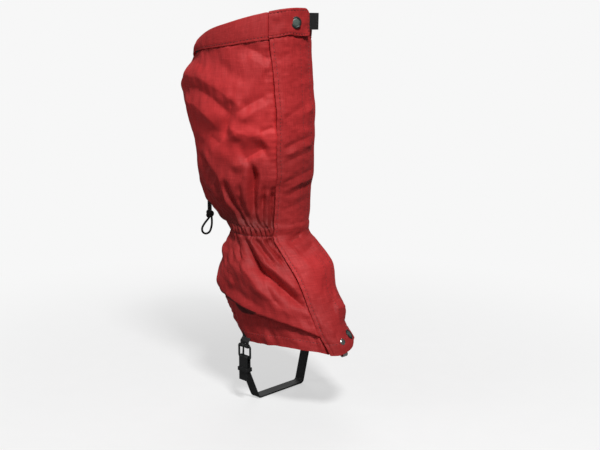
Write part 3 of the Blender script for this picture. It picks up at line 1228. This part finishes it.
f0 = float(phi_at_x(np.array(-22.0), np.array(245.0)))
f1 = float(phi_at_x(np.array(-19.0), np.array(245.0)))
ncol = int(440 / step)
phis = np.linspace(f0, f1 - 2 * math.pi, ncol)[::-1]
P = band_ring(phis)
b = Build()
nr, nu = P.shape[:2]
V = P.reshape(-1, 3)
i, j = np.meshgrid(np.arange(nr), np.arange(nu - 1), indexing="ij")
i2 = (i + 1) % nr
faces = np.stack([i * nu + j, i * nu + j + 1, i2 * nu + j + 1, i2 * nu + j], -1).reshape(-1, 4)
uvb = np.stack(np.broadcast_arrays(arc(phis, 0 * phis + 245)[None, :], (np.arange(nr) * 1.3)[:, None]), -1) + np.array([91.0, 23.0])
b.add(V, faces, 0, uvb)
for e in (0, nu - 1):
    c = P[:, e].mean(0)
    k = np.arange(nr)
    fan = np.stack([k, (k + 1) % nr, np.full(nr, nr)], -1)
    b.add(np.concatenate([P[:, e], c[None]]), fan if e == 0 else fan[:, ::-1], 0)
zb = on_plane(phis, band_z)
zr = on_plane(phis, rim_z)
sz = zb - 0.8 + (zr - 1.6 - zb) * 0.12
so = 0.5 + 1.9 * np.sin(math.pi * (0.06 + 0.9 * 0.12)) ** 0.6 - 0.35
stitches(b, point(phis, sz) + normal(phis, sz) * (so + 0.1), normal(phis, sz))
cuff = b.make("cuff_casing", [red, red_thread])
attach(cuff, "calf")
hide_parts("cuff_band")

# ---------------------------------------------------------------------------
# cuff tab with rounded corner, press stud and pull tab
# ---------------------------------------------------------------------------
TE = 21.5
tab_x = np.array([-35.0, -31, -25, -20, -15, -10, -5, 0, 6, 12, 18, TE])
tab_off = np.array([1.2, 1.9, 2.8, 3.5, 3.9, 4.3, 4.5, 4.7, None, None, None, None], dtype=object)
ty = []
for x, o in zip(tab_x, tab_off):
    if o is not None:
        yc, a, bb = tube(np.array(262.0))
        ty.append(float(yc - (bb + o) * math.sqrt(1 - (x / (a + o)) ** 2)))
    else:
        ty.append(ty[7] + {6.0: 0.1, 12.0: 0.4, 18.0: 0.9, TE: 1.3}[float(x)])
nux, nvz = ((130, 70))
xs = np.linspace(tab_x[0], TE, nux)
ys = pchip(tab_x, ty, xs)
plan = np.stack([xs, ys], -1)
L = np.concatenate([[0], np.cumsum(np.linalg.norm(np.diff(plan, axis=0), axis=1))])
rem = L[-1] - L
r1, r2 = 9.0, 4.0
top = rim_z(ys) + 0.3 - np.where(rem < r1, r1 - np.sqrt(np.maximum(r1**2 - (r1 - rem) ** 2, 0)), 0)
low = band_z(ys) - 0.3 + 2.0 * np.exp(-(((xs + 12) / 10) ** 2)) + np.where(rem < r2, r2 - np.sqrt(np.maximum(r2**2 - (r2 - rem) ** 2, 0)), 0)
T = np.linspace(0, 1, nvz)[:, None]
Zt = low[None] + (top - low)[None] * T
X = np.broadcast_to(xs, Zt.shape)
Y = np.broadcast_to(ys, Zt.shape)
P = np.stack([X, Y, Zt], -1)
tang = np.gradient(plan, axis=0)
tang /= np.linalg.norm(tang, axis=1, keepdims=True)
out = np.stack([tang[:, 1], -tang[:, 0], 0 * xs], -1)
dz = np.minimum(Zt - low[None], top[None] - Zt)
de = np.broadcast_to(rem, Zt.shape)
dd = np.minimum(dz, de)
roundoff = 1.15 * (1 - np.sqrt(np.clip(1 - (1 - np.clip(dd / 1.4, 0, 1)) ** 2, 0, 1)))
groove = 0.32 * np.exp(-(((np.minimum(dz, de) - 3.2) / 0.7) ** 2)) * (Zt > -1)
wav = 0.28 * waves(X * 1.0, Zt, 31, 14, 12, 40)
seat = np.exp(-(((X + 2.8) ** 2 + (Zt - 260.6) ** 2) / 8.0**2))
Po = P + out[None] * (1.0 - roundoff - groove + wav * (1 - seat) - 0.25 * seat)[..., None]
Pi = P - out[None] * (1.0 - roundoff)[..., None]
b = Build()
n = nvz * nux
V = np.concatenate([Po.reshape(-1, 3), Pi.reshape(-1, 3)])
outerf = quads(nvz, nux)
innerf = quads(nvz, nux, n, flip=True)
k = np.arange(nux - 1)
lowf = np.stack([k + n, k + 1 + n, k + 1, k], -1)
topf = np.stack([k, k + 1, k + 1 + n, k + n], -1) + (nvz - 1) * nux
j = np.arange(nvz - 1) * nux
leftf = np.stack([j, j + nux, j + nux + n, j + n], -1)
rightf = np.stack([j + n, j + nux + n, j + nux, j], -1) + nux - 1
uvt = np.stack([np.broadcast_to(L, Zt.shape), Zt], -1).reshape(-1, 2)
b.add(V, np.concatenate([outerf, innerf, lowf, topf, leftf, rightf]), 0, np.concatenate([uvt, uvt]) + 53)
# stitch row round the tab's edge
inset = 3.2
top_line = [(x, rim_z(y) + 0.3 - inset) for x, y in zip(xs, ys) if x < TE - 8.5]
path2 = list(top_line)
cx, cz = TE - r1, float(rim_z(ys[-1])) + 0.3 - r1
for a in np.linspace(math.pi / 2, 0, 14):
    path2.append((cx + (r1 - inset) * math.cos(a), cz + (r1 - inset) * math.sin(a)))
for zz in np.linspace(cz, float(band_z(ys[-1])) + inset + 1, 12)[1:]:
    path2.append((TE - inset, zz))
path2 = np.array(path2)
yy = np.interp(path2[:, 0], xs, ys)
oo = np.stack([np.interp(path2[:, 0], xs, out[:, k]) for k in range(3)], -1)
stitches(b, np.stack([path2[:, 0], yy, path2[:, 1]], -1) + oo * 0.85, oo)
low_line = np.array([(x, float(np.interp(x, xs, low)) + 3.0) for x in np.linspace(-33, TE - 3.5, 90)])
yy = np.interp(low_line[:, 0], xs, ys)
oo = np.stack([np.interp(low_line[:, 0], xs, out[:, k]) for k in range(3)], -1)
stitches(b, np.stack([low_line[:, 0], yy, low_line[:, 1]], -1) + oo * 0.85, oo)
tab = b.make("cuff_closing_tab", [red, red_thread])
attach(tab, "flap_upper")
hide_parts("cuff_tab")

# pull tab: a loop of ribbed webbing sewn behind the tab's end
b = Build()
y_in = float(np.interp(20, xs, ys)) + 1.9
PE = 37.6
path = [(17.5 + 1.1 * k, y_in, 262.3) for k in range(21)]
for a in np.linspace(0, math.pi, 9)[1:]:
    path.append((PE + 1.5 * math.sin(a) * 1.3, y_in + 1.1 - 1.1 * math.cos(a), 262.3))
path += [(PE - 1.1 * k, y_in + 2.2 - 0.1 * math.sin(k / 19 * math.pi), 262.3) for k in range(1, 20)]
path = np.array(path)
ribbon(b, path, (0.03, 0, 0.9995), 20.5, 1.25, 0, corner=0.5, cols=28)
for z0, z1 in ((253.6, 271.0),):
    for x in (24.6, 34.4):
        zz = np.linspace(z0, z1, 24)
        pts = np.stack([np.full_like(zz, x), np.full_like(zz, y_in - 0.62), zz], -1)
        stitches(b, pts, np.tile([0, -1.0, 0], (24, 1)), pitch=2.6, length=1.9, r=0.26, mat=1)
pull = b.make("pull_tab_webbing", [webbing, black_thread])
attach(pull, "flap_upper")
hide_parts("pull_tab")


def snap_cap(name, origin, axis, body, node_name, r=6.9):
    b = Build()
    o = np.asarray(origin, float)
    lathe(b, o, axis, [(r * 0.55, -1.5), (r * 0.9, -1.5), (r * 0.96, -0.2), (r, 0.15), (r * 0.985, 0.62), (r * 0.93, 1.0), (r * 0.84, 1.22), (r * 0.75, 1.18), (r * 0.70, 0.88), (r * 0.66, 0.72)], 56, 0)
    lathe(b, o, axis, [(r * 0.66, 0.55), (r * 0.67, 0.74), (r * 0.64, 0.98), (r * 0.5, 1.12), (r * 0.25, 1.18), (0.0, 1.19)], 56, 1)
    ob = b.make(name, [gunmetal, gunmetal_cap])
    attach(ob, body)
    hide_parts(node_name)
    return ob


tab_front = float(np.interp(-2.8, xs, ys)) - 1.0
snap_cap("press_stud_top", (-4.0, tab_front - 0.2, 260.6), (-0.44, -0.896, 0.06), "flap_upper", "top_snap_cap", r=7.3)


def flap_spot(x, z):
    """Point on the flap's outside and its normal."""
    f = phi_at_x(np.array([x]), np.array([z]))
    zz = np.array([z])
    p = flap_point(f, zz, 0 * f + 0.5)[0]
    n = normal(f, zz)[0]
    return p, n


p, n = flap_spot(15.8, -123.4)
snap_cap("press_stud_bottom", p + n * 0.1, n, "flap_lower", "bottom_snap_cap", r=6.6)

# lace hook rivet head
p, n = flap_spot(-2.6, -126.6)
b = Build()
lathe(b, p, n, [(1.6, -0.3), (3.7, -0.2), (3.9, 0.1), (3.6, 0.55), (2.6, 0.95), (1.4, 1.12), (0.0, 1.16)], 40, 0)
lathe(b, p - n * 2.2, n, [(1.5, -1.6), (1.5, 2.0)], 24, 0)
rivet = b.make("lace_hook_rivet_head", [nickel])
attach(rivet, "flap_lower")
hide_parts("lace_hook_rivet")

# ---------------------------------------------------------------------------
# tapes inside
# ---------------------------------------------------------------------------


def tape(name, x0, x1, zlo, zhi, off, t, mat, body, node_name, slant=0.0, extra=0.0):
    b = Build()
    nz, nx = max(8, int((zhi - zlo) / (step * 1.6))), max(6, int((x1 - x0) / (step * 1.4)))
    zz = np.linspace(zlo, zhi, nz)[:, None] + np.zeros((1, nx))
    sx = np.linspace(0, 1, nx)[None] + 0 * zz
    k = (zhi - zz) / (zhi - zlo)
    xx = x0 + (x1 - x0) * sx + slant * k - extra * k * sx
    ff = phi_at_x(xx, zz)
    fuzz = 0.10 * np.random.default_rng(len(name)).standard_normal(zz.shape)
    Pp = point(ff, zz) + normal(ff, zz) * (off + fuzz)[..., None]
    slab(b, Pp, t, 0, np.stack([xx, zz], -1))
    ob = b.make(name, [mat], sharp=0)
    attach(ob, body)
    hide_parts(node_name)
    return ob


tape("loop_tape_top", 8, 33, 30, 234, 0.45, 0.6, loop_mat, "calf", "loop_tape_upper")
tape("hook_tape_top", 8, 31, 112, 234, 1.45, 0.7, hook_mat, "flap_upper", "hook_tape_upper")
tape("loop_tape_bottom", 8, 33, -108, -26, 0.45, 0.6, loop_mat, "foot", "loop_tape_lower", slant=-4, extra=3)
tape("hook_tape_bottom", 8, 30, -108, -86, 1.45, 0.7, hook_mat, "flap_lower", "hook_tape_lower", slant=-4, extra=3)

# back seam tapes
for name, zlo, zhi, body, nd in (("back_seam_binding_top", 19, 212, "calf", "back_seam_tape_upper"), ("back_seam_binding_bottom", -100, -19, "foot", "back_seam_tape_lower")):
    b = Build()
    zz = np.linspace(zlo, zhi, int((zhi - zlo) / (step * 1.3)))[:, None] + np.zeros((1, 9))
    ff = math.pi + np.linspace(-5, 5, 9)[None] / 78 + 0 * zz
    fw = np.where(ff > math.pi, ff - 2 * math.pi, ff)
    Pp = point(ff, zz) + normal(ff, zz) * (shell_relief(fw, zz) - shell_t - 0.25)[..., None]
    slab(b, Pp, 0.6, 0, np.stack([ff * 78, zz], -1))
    ob = b.make(name, [webbing], sharp=0)
    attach(ob, body)
    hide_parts(nd)

# elastic inside the waist
b = Build()
ff = np.radians(np.linspace(-40, 14 - 360, 420))[::-1]
zz = np.linspace(-6, 6, 14)[:, None] + 0 * ff[None]
ff = ff[None] + 0 * zz
rib = 0.18 * np.cos(ff * 190)
rr = 47.9 + rib
Pp = np.stack([rr * np.sin(ff), -rr * np.cos(ff), zz], -1)
slab(b, Pp, 0.9, 0, np.stack([ff * 48, zz], -1))
ob = b.make("waist_elastic_tape", [elastic_mat])
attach(ob, "foot")
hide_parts("waist_elastic")

# ---------------------------------------------------------------------------
# drawcord tail: two strands, overhand knot, end loop
# ---------------------------------------------------------------------------


def spline(points, n):
    p = np.asarray(points, float)
    k = len(p)
    ext = np.concatenate([[2 * p[0] - p[1]], p, [2 * p[-1] - p[-2]]])
    out = []
    for i in range(k - 1):
        p0, p1, p2, p3 = ext[i:i + 4]
        for t in np.linspace(0, 1, max(2, n // (k - 1)), endpoint=False):
            out.append(0.5 * ((2 * p1) + (-p0 + p2) * t + (2 * p0 - 5 * p1 + 4 * p2 - p3) * t**2 + (-p0 + 3 * p1 - 3 * p2 + p3) * t**3))
    out.append(p[-1])
    return np.array(out)


ey_lo, ey_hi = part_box("cord_eyelets")
ey_y = ey_hi.y / MM
KX, KY, KZ = 8.0, 131.0, -1.0
RV = np.array([0.7071, -0.7071, 0.0])
cord_r = 1.5
b = Build()
K = np.array([KX, KY, KZ])
for sx, x, off in ((3.0, 6.6, -1.45), (13.0, 9.4, 1.45)):
    top_pt = np.array([sx, ey_y - 0.4, 220.3])
    pts = [top_pt, (sx * 0.8 + x * 0.2, ey_y + 5.5, 217), (sx * 0.5 + x * 0.5, ey_y + 12.5, 206), (x, KY - 2.6, 187), (x, KY, 166), (x, KY, 120), (x + 0.5, KY, 60), tuple(K + RV * off + np.array([0, 0, 9])), tuple(K + RV * off * 0.8 + np.array([0, 0, 2]))]
    rope(b, spline(pts, 150), cord_r, 12)
# knot: cord wound as a compact overhand knot
t = np.linspace(0, 2 * math.pi, 150, endpoint=False)
kn = np.stack([(2.6 + 1.35 * np.cos(3 * t)) * np.cos(2 * t), (2.6 + 1.35 * np.cos(3 * t)) * np.sin(2 * t), 1.9 * np.sin(3 * t)], -1)
ax1, ax2, ax3 = RV, np.array([0, 0, 1.0]), np.array([0.7071, 0.7071, 0])
rot = kn[:, 0:1] * ax1 * 1.15 + kn[:, 1:2] * ax2 * 1.25 + kn[:, 2:3] * ax3
rope(b, K + rot, cord_r, 12, closed=True)
kn2 = np.stack([2.4 * np.cos(t), 1.9 * np.sin(t), 1.2 * np.sin(2 * t)], -1)
rope(b, K + kn2[:, 0:1] * ax3 + kn2[:, 1:2] * (ax2 * 0.8 + ax1 * 0.6) + kn2[:, 2:3] * ax1, cord_r, 12, closed=True)
# end loop hangs towards the heel side
lp = [(1.0, -2.0), (-2.2, -7), (-7.6, -14), (-11.0, -20.5), (-10.4, -26.0), (-6.0, -28.6), (-0.8, -25.8), (2.0, -18.5), (2.8, -10), (2.2, -2.0)]
rope(b, spline([K + RV * u + np.array([0, 0, v]) for u, v in lp], 120), cord_r * 0.98, 12)
tail = b.make("drawcord_tail", [cord_mat], sharp=0)
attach(tail, "cord_tail")
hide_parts("cord_tail")

# ---------------------------------------------------------------------------
# underfoot strap, buckle tab, keeper, hem patches
# ---------------------------------------------------------------------------
SY = -14.0
TABX, BX = 57.6, -58.6
ZR, ZT, ZL, ZB = -128.0, -144.0, -160.0, -219.0


def arc2(c, r, a0, a1, n):
    a = np.linspace(math.radians(a0), math.radians(a1), n)
    return [(c[0] + r * math.cos(x), c[1] + r * math.sin(x)) for x in a]


def fillet_path(pts, r, n=10):
    """Polyline in a plane with rounded corners, resampled finely."""
    p = [np.array(q, float) for q in pts]
    out = [p[0]]
    for a, c, e in zip(p[:-2], p[1:-1], p[2:]):
        u, v = (a - c) / np.linalg.norm(a - c), (e - c) / np.linalg.norm(e - c)
        ang = math.acos(np.clip(u @ v, -1, 1))
        d = r / math.tan(ang / 2)
        m = (u + v) / np.linalg.norm(u + v)
        cc = c + m * (r / math.sin(ang / 2))
        s, t = c + u * d, c + v * d
        a0, a1 = s - cc, t - cc
        om = math.acos(np.clip((a0 @ a1) / (r * r), -1, 1))
        for k in range(n + 1):
            w = k / n
            out.append(cc + (math.sin((1 - w) * om) * a0 + math.sin(w * om) * a1) / math.sin(om))
    out.append(p[-1])
    fine = [out[0]]
    for a, c in zip(out[:-1], out[1:]):
        m = max(1, int(np.linalg.norm(c - a) / 2.0))
        for k in range(1, m + 1):
            fine.append(a + (c - a) * k / m)
    return np.array(fine)


def shell_x(z, side=1):
    """Distance of the shell's outside from the mid plane at the strap's Y."""
    zz = np.full(3, z)
    ff = np.full(3, 1.4 * side)
    for _ in range(6):
        P = point(ff, zz)
        ff = ff + side * (P[:, 1] - SY) / -90.0
    return float(np.abs(surface(ff, zz, shell_relief(ff, zz))[0, 0]))


wrap = 1.3 + 0.2 + 1.0
mid = TABX + 1.0
xi = shell_x(-128.0) + 1.35
main = fillet_path([(xi, ZR + 7.0), (xi, -135.0), (mid, -145.0), (mid, -148.5), (40, ZB + 1.0), (-40, ZB + 1.0), (BX + wrap, -180), (BX + wrap, ZL)], 5)
turn = np.array(arc2((BX, ZL), wrap, 0, 180, 14)[1:])
tail_pts = np.array([(BX - wrap, ZL - k) for k in np.arange(1.5, 30.5, 1.5)])
xz = np.concatenate([main, turn, tail_pts])
b = Build()
path3 = np.stack([xz[:, 0], np.full(len(xz), SY), xz[:, 1]], -1)
ribbon(b, path3, (0, 1, 0), 15.0, 2.0, 0, corner=0.55, cols=9)
# punched holes as dark dimples with a moulded lip
for zc in (ZL - 12, ZL - 21):
    lathe(b, np.array([BX - wrap - 1.0, SY, zc]), (-1, 0, 0), [(1.9, -0.1), (1.9, 0.12), (1.55, 0.16), (1.3, -0.35), (0.0, -0.4)], 24, 1)
for yy in (-6.2, 6.2):
    pts = path3[(path3[:, 2] < -135)][:, :]
    pts = pts[: len(pts) - 8]
    tt = frames_along(pts)
    nn = np.cross(np.array([0, 1.0, 0]), tt)
    nn /= np.linalg.norm(nn, axis=1, keepdims=True)
    stitches(b, pts + np.array([0, yy, 0]) - nn * 1.0, -nn, pitch=3.6, length=2.5, r=0.22, lift=0.05, mat=2)
strap = b.make("underfoot_strap_band", [rubber, plastic, black_thread])
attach(strap, "underfoot_strap")
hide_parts("underfoot_strap")

b = Build()
tx = -(TABX + 1.0)
xo = -(shell_x(-128.0, -1) + 1.35)
lo = fillet_path([(xo, ZR + 7.0), (xo, -134.0), (tx, -138.5), (tx, ZT + 3.4)], 2.5, 5)
pth = np.concatenate([np.stack([lo[:, 0], np.full(len(lo), SY), lo[:, 1]], -1)])
ribbon(b, pth, (0, 1, 0), 15.0, 2.0, 0, corner=0.6, cols=7)
for y0 in (SY - 4.75, SY + 4.75):
    ring = np.array([(BX + 2.15 * math.cos(a), y0, ZT + 2.15 * math.sin(a)) for a in np.linspace(0, 2 * math.pi, 26, endpoint=False)])
    ribbon(b, ring, (0, 1, 0), 5.3, 1.45, 0, corner=0.5, cols=4, closed=True)
zz = np.linspace(-138.5, -122.5, 30)
for y0 in (SY - 5.6, SY + 5.6):
    stitches(b, np.stack([np.interp(-zz, -lo[:, 1], lo[:, 0]) - 1.0, np.full(30, y0), zz], -1), np.tile([-1.0, 0, 0], (30, 1)), pitch=3.0, length=2.1, r=0.22, mat=1)
btab = b.make("buckle_tab_strap", [rubber, black_thread])
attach(btab, "underfoot_strap")
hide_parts("buckle_tab")

b = Build()
hw, hy = wrap + 1.0 + 1.0, 7.5 + 0.9
kp = []
for cx, cy, a0 in ((hw - 1, hy - 1, 0), (-hw + 1, hy - 1, 90), (-hw + 1, -hy + 1, 180), (hw - 1, -hy + 1, 270)):
    kp += arc2((cx, cy), 1.0, a0, a0 + 90, 6)
kp = np.array([(BX + x, SY + y, -175.5) for x, y in kp])
ribbon(b, kp, (0, 0, 1), 5.0, 1.3, 0, corner=0.5, cols=4, closed=True)
keeper = b.make("strap_keeper_loop", [rubber])
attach(keeper, "underfoot_strap")
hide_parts("strap_keeper")

b = Build()
for side in (-1, 1):
    nz, ny = 34, 48
    T, S = np.meshgrid(np.linspace(0, 1, nz), np.linspace(-1, 1, ny), indexing="ij")
    yy = SY + 25.0 * S
    cy, ca, cb = tube(-125.0 + 0 * yy)
    ff = side * np.arccos(np.clip((cy - yy) / cb, -1, 1))
    lo = hem_z(ff) - 0.5
    zz = lo + T * (-106.0 - lo)
    for _ in range(2):
        cy, ca, cb = tube(zz)
        ff = side * np.arccos(np.clip((cy - yy) / cb, -1, 1))
    edge = np.minimum(smooth((1 - np.abs(S)) / 0.9), smooth((1 - T) / 0.75))
    lift = 0.30 + 3.5 * edge * np.exp(-(((yy - SY) / 12.5) ** 2)) + 0.5 * smooth(edge * 6)
    lift += 0.25 * waves(yy, zz, 41, 14, 9, 26) * edge
    Hp = shell_relief(ff, zz)
    Pp = point(ff, zz) + normal(ff, zz) * (Hp * (1 - 0.35 * edge) + lift)[..., None]
    if side > 0:
        slab(b, Pp, 0.5, 0, uv_of(ff, zz), inner_mat=2)
    else:
        slab(b, Pp[:, ::-1], 0.5, 0, uv_of(ff, zz)[:, ::-1], inner_mat=2)
    Np = grid_normals(Pp) * side
    row = int(round(11.6 / 31.0 * (nz - 1)))
    stitches(b, Pp[row, 1:-1], Np[row, 1:-1])
patch = b.make("strap_hem_patches", [red, red_thread, red_in])
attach(patch, "foot")
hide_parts("strap_patches", "strap_rivets")

# ---------------------------------------------------------------------------
# CAD hardware that keeps its shape, with finished materials
# ---------------------------------------------------------------------------
KEEP = {
    "buckle_frame": gunmetal, "buckle_prong": gunmetal, "lace_hook": nickel,
    "lace_hook_washer": nickel, "cord_eyelets": gunmetal, "cord_lock_body": plastic, "cord_lock_button": plastic,
    "cord_lock_spring": nickel, "top_snap_socket": gunmetal, "top_snap_stud": gunmetal, "top_snap_backing": gunmetal,
    "bottom_snap_socket": gunmetal, "bottom_snap_stud": gunmetal, "bottom_snap_backing": gunmetal, "drawcord": cord_mat,
}
for name, mat in KEEP.items():
    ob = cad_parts[name]
    if not ob.material_slots:
        ob.data.materials.append(mat)
    for s in ob.material_slots:
        s.material = mat

# ---------------------------------------------------------------------------
# floor, light, camera
# ---------------------------------------------------------------------------
bpy.ops.mesh.primitive_circle_add(vertices=96, radius=12, fill_type="NGON", location=(0, 0, -0.2196))
floor = bpy.context.object
floor.name = "floor"
fm, fnt, fp = new_mat("floor_paper")
fn = noise(fnt, mapping(fnt, (1, 1, 1), "Object"), 30.0, 3.0)
fnt.links.new(ramp(fnt, fn, [(0.3, (0.86, 0.86, 0.86, 1)), (0.7, (0.88, 0.88, 0.88, 1))]), fp.inputs["Base Color"])
fp.inputs["Roughness"].default_value = 0.9
fp.inputs["Specular IOR Level"].default_value = 0.1
# the paper runs out to an evenly lit white surround
vl = fnt.nodes.new("ShaderNodeVectorMath")
vl.operation = "LENGTH"
ftc = fnt.nodes.new("ShaderNodeTexCoord")
fnt.links.new(ftc.outputs["Object"], vl.inputs[0])
fr = fnt.nodes.new("ShaderNodeMapRange")
fr.interpolation_type = "SMOOTHSTEP"
fr.inputs["From Min"].default_value = 0.12
fr.inputs["From Max"].default_value = 0.80
fnt.links.new(vl.outputs["Value"], fr.inputs["Value"])
em = fnt.nodes.new("ShaderNodeEmission")
em.inputs["Color"].default_value = (1, 1, 1, 1)
em.inputs["Strength"].default_value = 0.93
lp = fnt.nodes.new("ShaderNodeLightPath")
cf = math_node(fnt, "MULTIPLY_ADD", fr.outputs["Result"], 0.42, 0.58)
mx = fnt.nodes.new("ShaderNodeMixShader")
fnt.links.new(cf, mx.inputs["Fac"])
fnt.links.new(fp.outputs["BSDF"], mx.inputs[1])
dim = fnt.nodes.new("ShaderNodeBsdfDiffuse")
dim.inputs["Color"].default_value = (0.16, 0.16, 0.16, 1)
m0 = fnt.nodes.new("ShaderNodeMixShader")
fnt.links.new(lp.outputs["Is Camera Ray"], m0.inputs["Fac"])
fnt.links.new(dim.outputs["BSDF"], m0.inputs[1])
fnt.links.new(mx.outputs["Shader"], m0.inputs[2])
fnt.links.new(em.outputs["Emission"], mx.inputs[2])
fnt.links.new(m0.outputs["Shader"], fnt.nodes["Material Output"].inputs["Surface"])
floor.data.materials.append(fm)

world = bpy.data.worlds.new("studio") if bpy.context.scene.world is None else bpy.context.scene.world
bpy.context.scene.world = world
world.use_nodes = True
wt = world.node_tree
bg = wt.nodes["Background"]
bg.inputs["Color"].default_value = (1.0, 1.0, 1.0, 1)
wl = wt.nodes.new("ShaderNodeLightPath")
wm = wt.nodes.new("ShaderNodeMapRange")
wm.inputs["To Min"].default_value = 0.10
wm.inputs["To Max"].default_value = 0.93
wt.links.new(wl.outputs["Is Camera Ray"], wm.inputs["Value"])
wt.links.new(wm.outputs["Result"], bg.inputs["Strength"])
bpy.context.scene.view_settings.view_transform = "Standard"


def area(name, loc, target, size, power, color=(1, 1, 1)):
    d = bpy.data.lights.new(name, "AREA")
    d.energy = power
    d.size = size
    d.color = color
    o = bpy.data.objects.new(name, d)
    bpy.context.scene.collection.objects.link(o)
    o.location = loc
    v = np.array(target, float) - np.array(loc, float)
    from mathutils import Vector
    o.rotation_euler = Vector(v).to_track_quat("-Z", "Y").to_euler()
    return o


area("key", (-0.62, -1.22, 1.72), (0, 0, 0.02), 0.42, 43.5)
area("fill", (-1.6, -0.9, 0.5), (0, 0, 0.03), 1.0, 3.3)
area("side", (-1.3, 0.9, 0.9), (0, 0, 0.05), 0.7, 3.6)
area("back", (0.9, 0.9, 1.1), (0, 0, 0.05), 0.9, 7.5)

az = math.radians(-45)
Rv = np.array([math.cos(az), math.sin(az), 0.0])
Bv = np.array([math.sin(az), -math.cos(az), 0.0])
pos = Bv * 1.250 + Rv * 0.0394 + np.array([0, 0, 0.257])
pitch = math.radians(11.5)
fw = -Bv * math.cos(pitch) - np.array([0, 0, math.sin(pitch)])
cam = bpy.data.cameras.new("camera")
cam.sensor_fit = "HORIZONTAL"
cam.sensor_width = 36.0
cam.lens = 980.0 * 36.0 / 600.0
camera = bpy.data.objects.new("camera", cam)
bpy.context.scene.collection.objects.link(camera)
from mathutils import Vector

camera.location = pos
camera.rotation_euler = Vector(fw).to_track_quat("-Z", "Y").to_euler()
bpy.context.scene.camera = camera
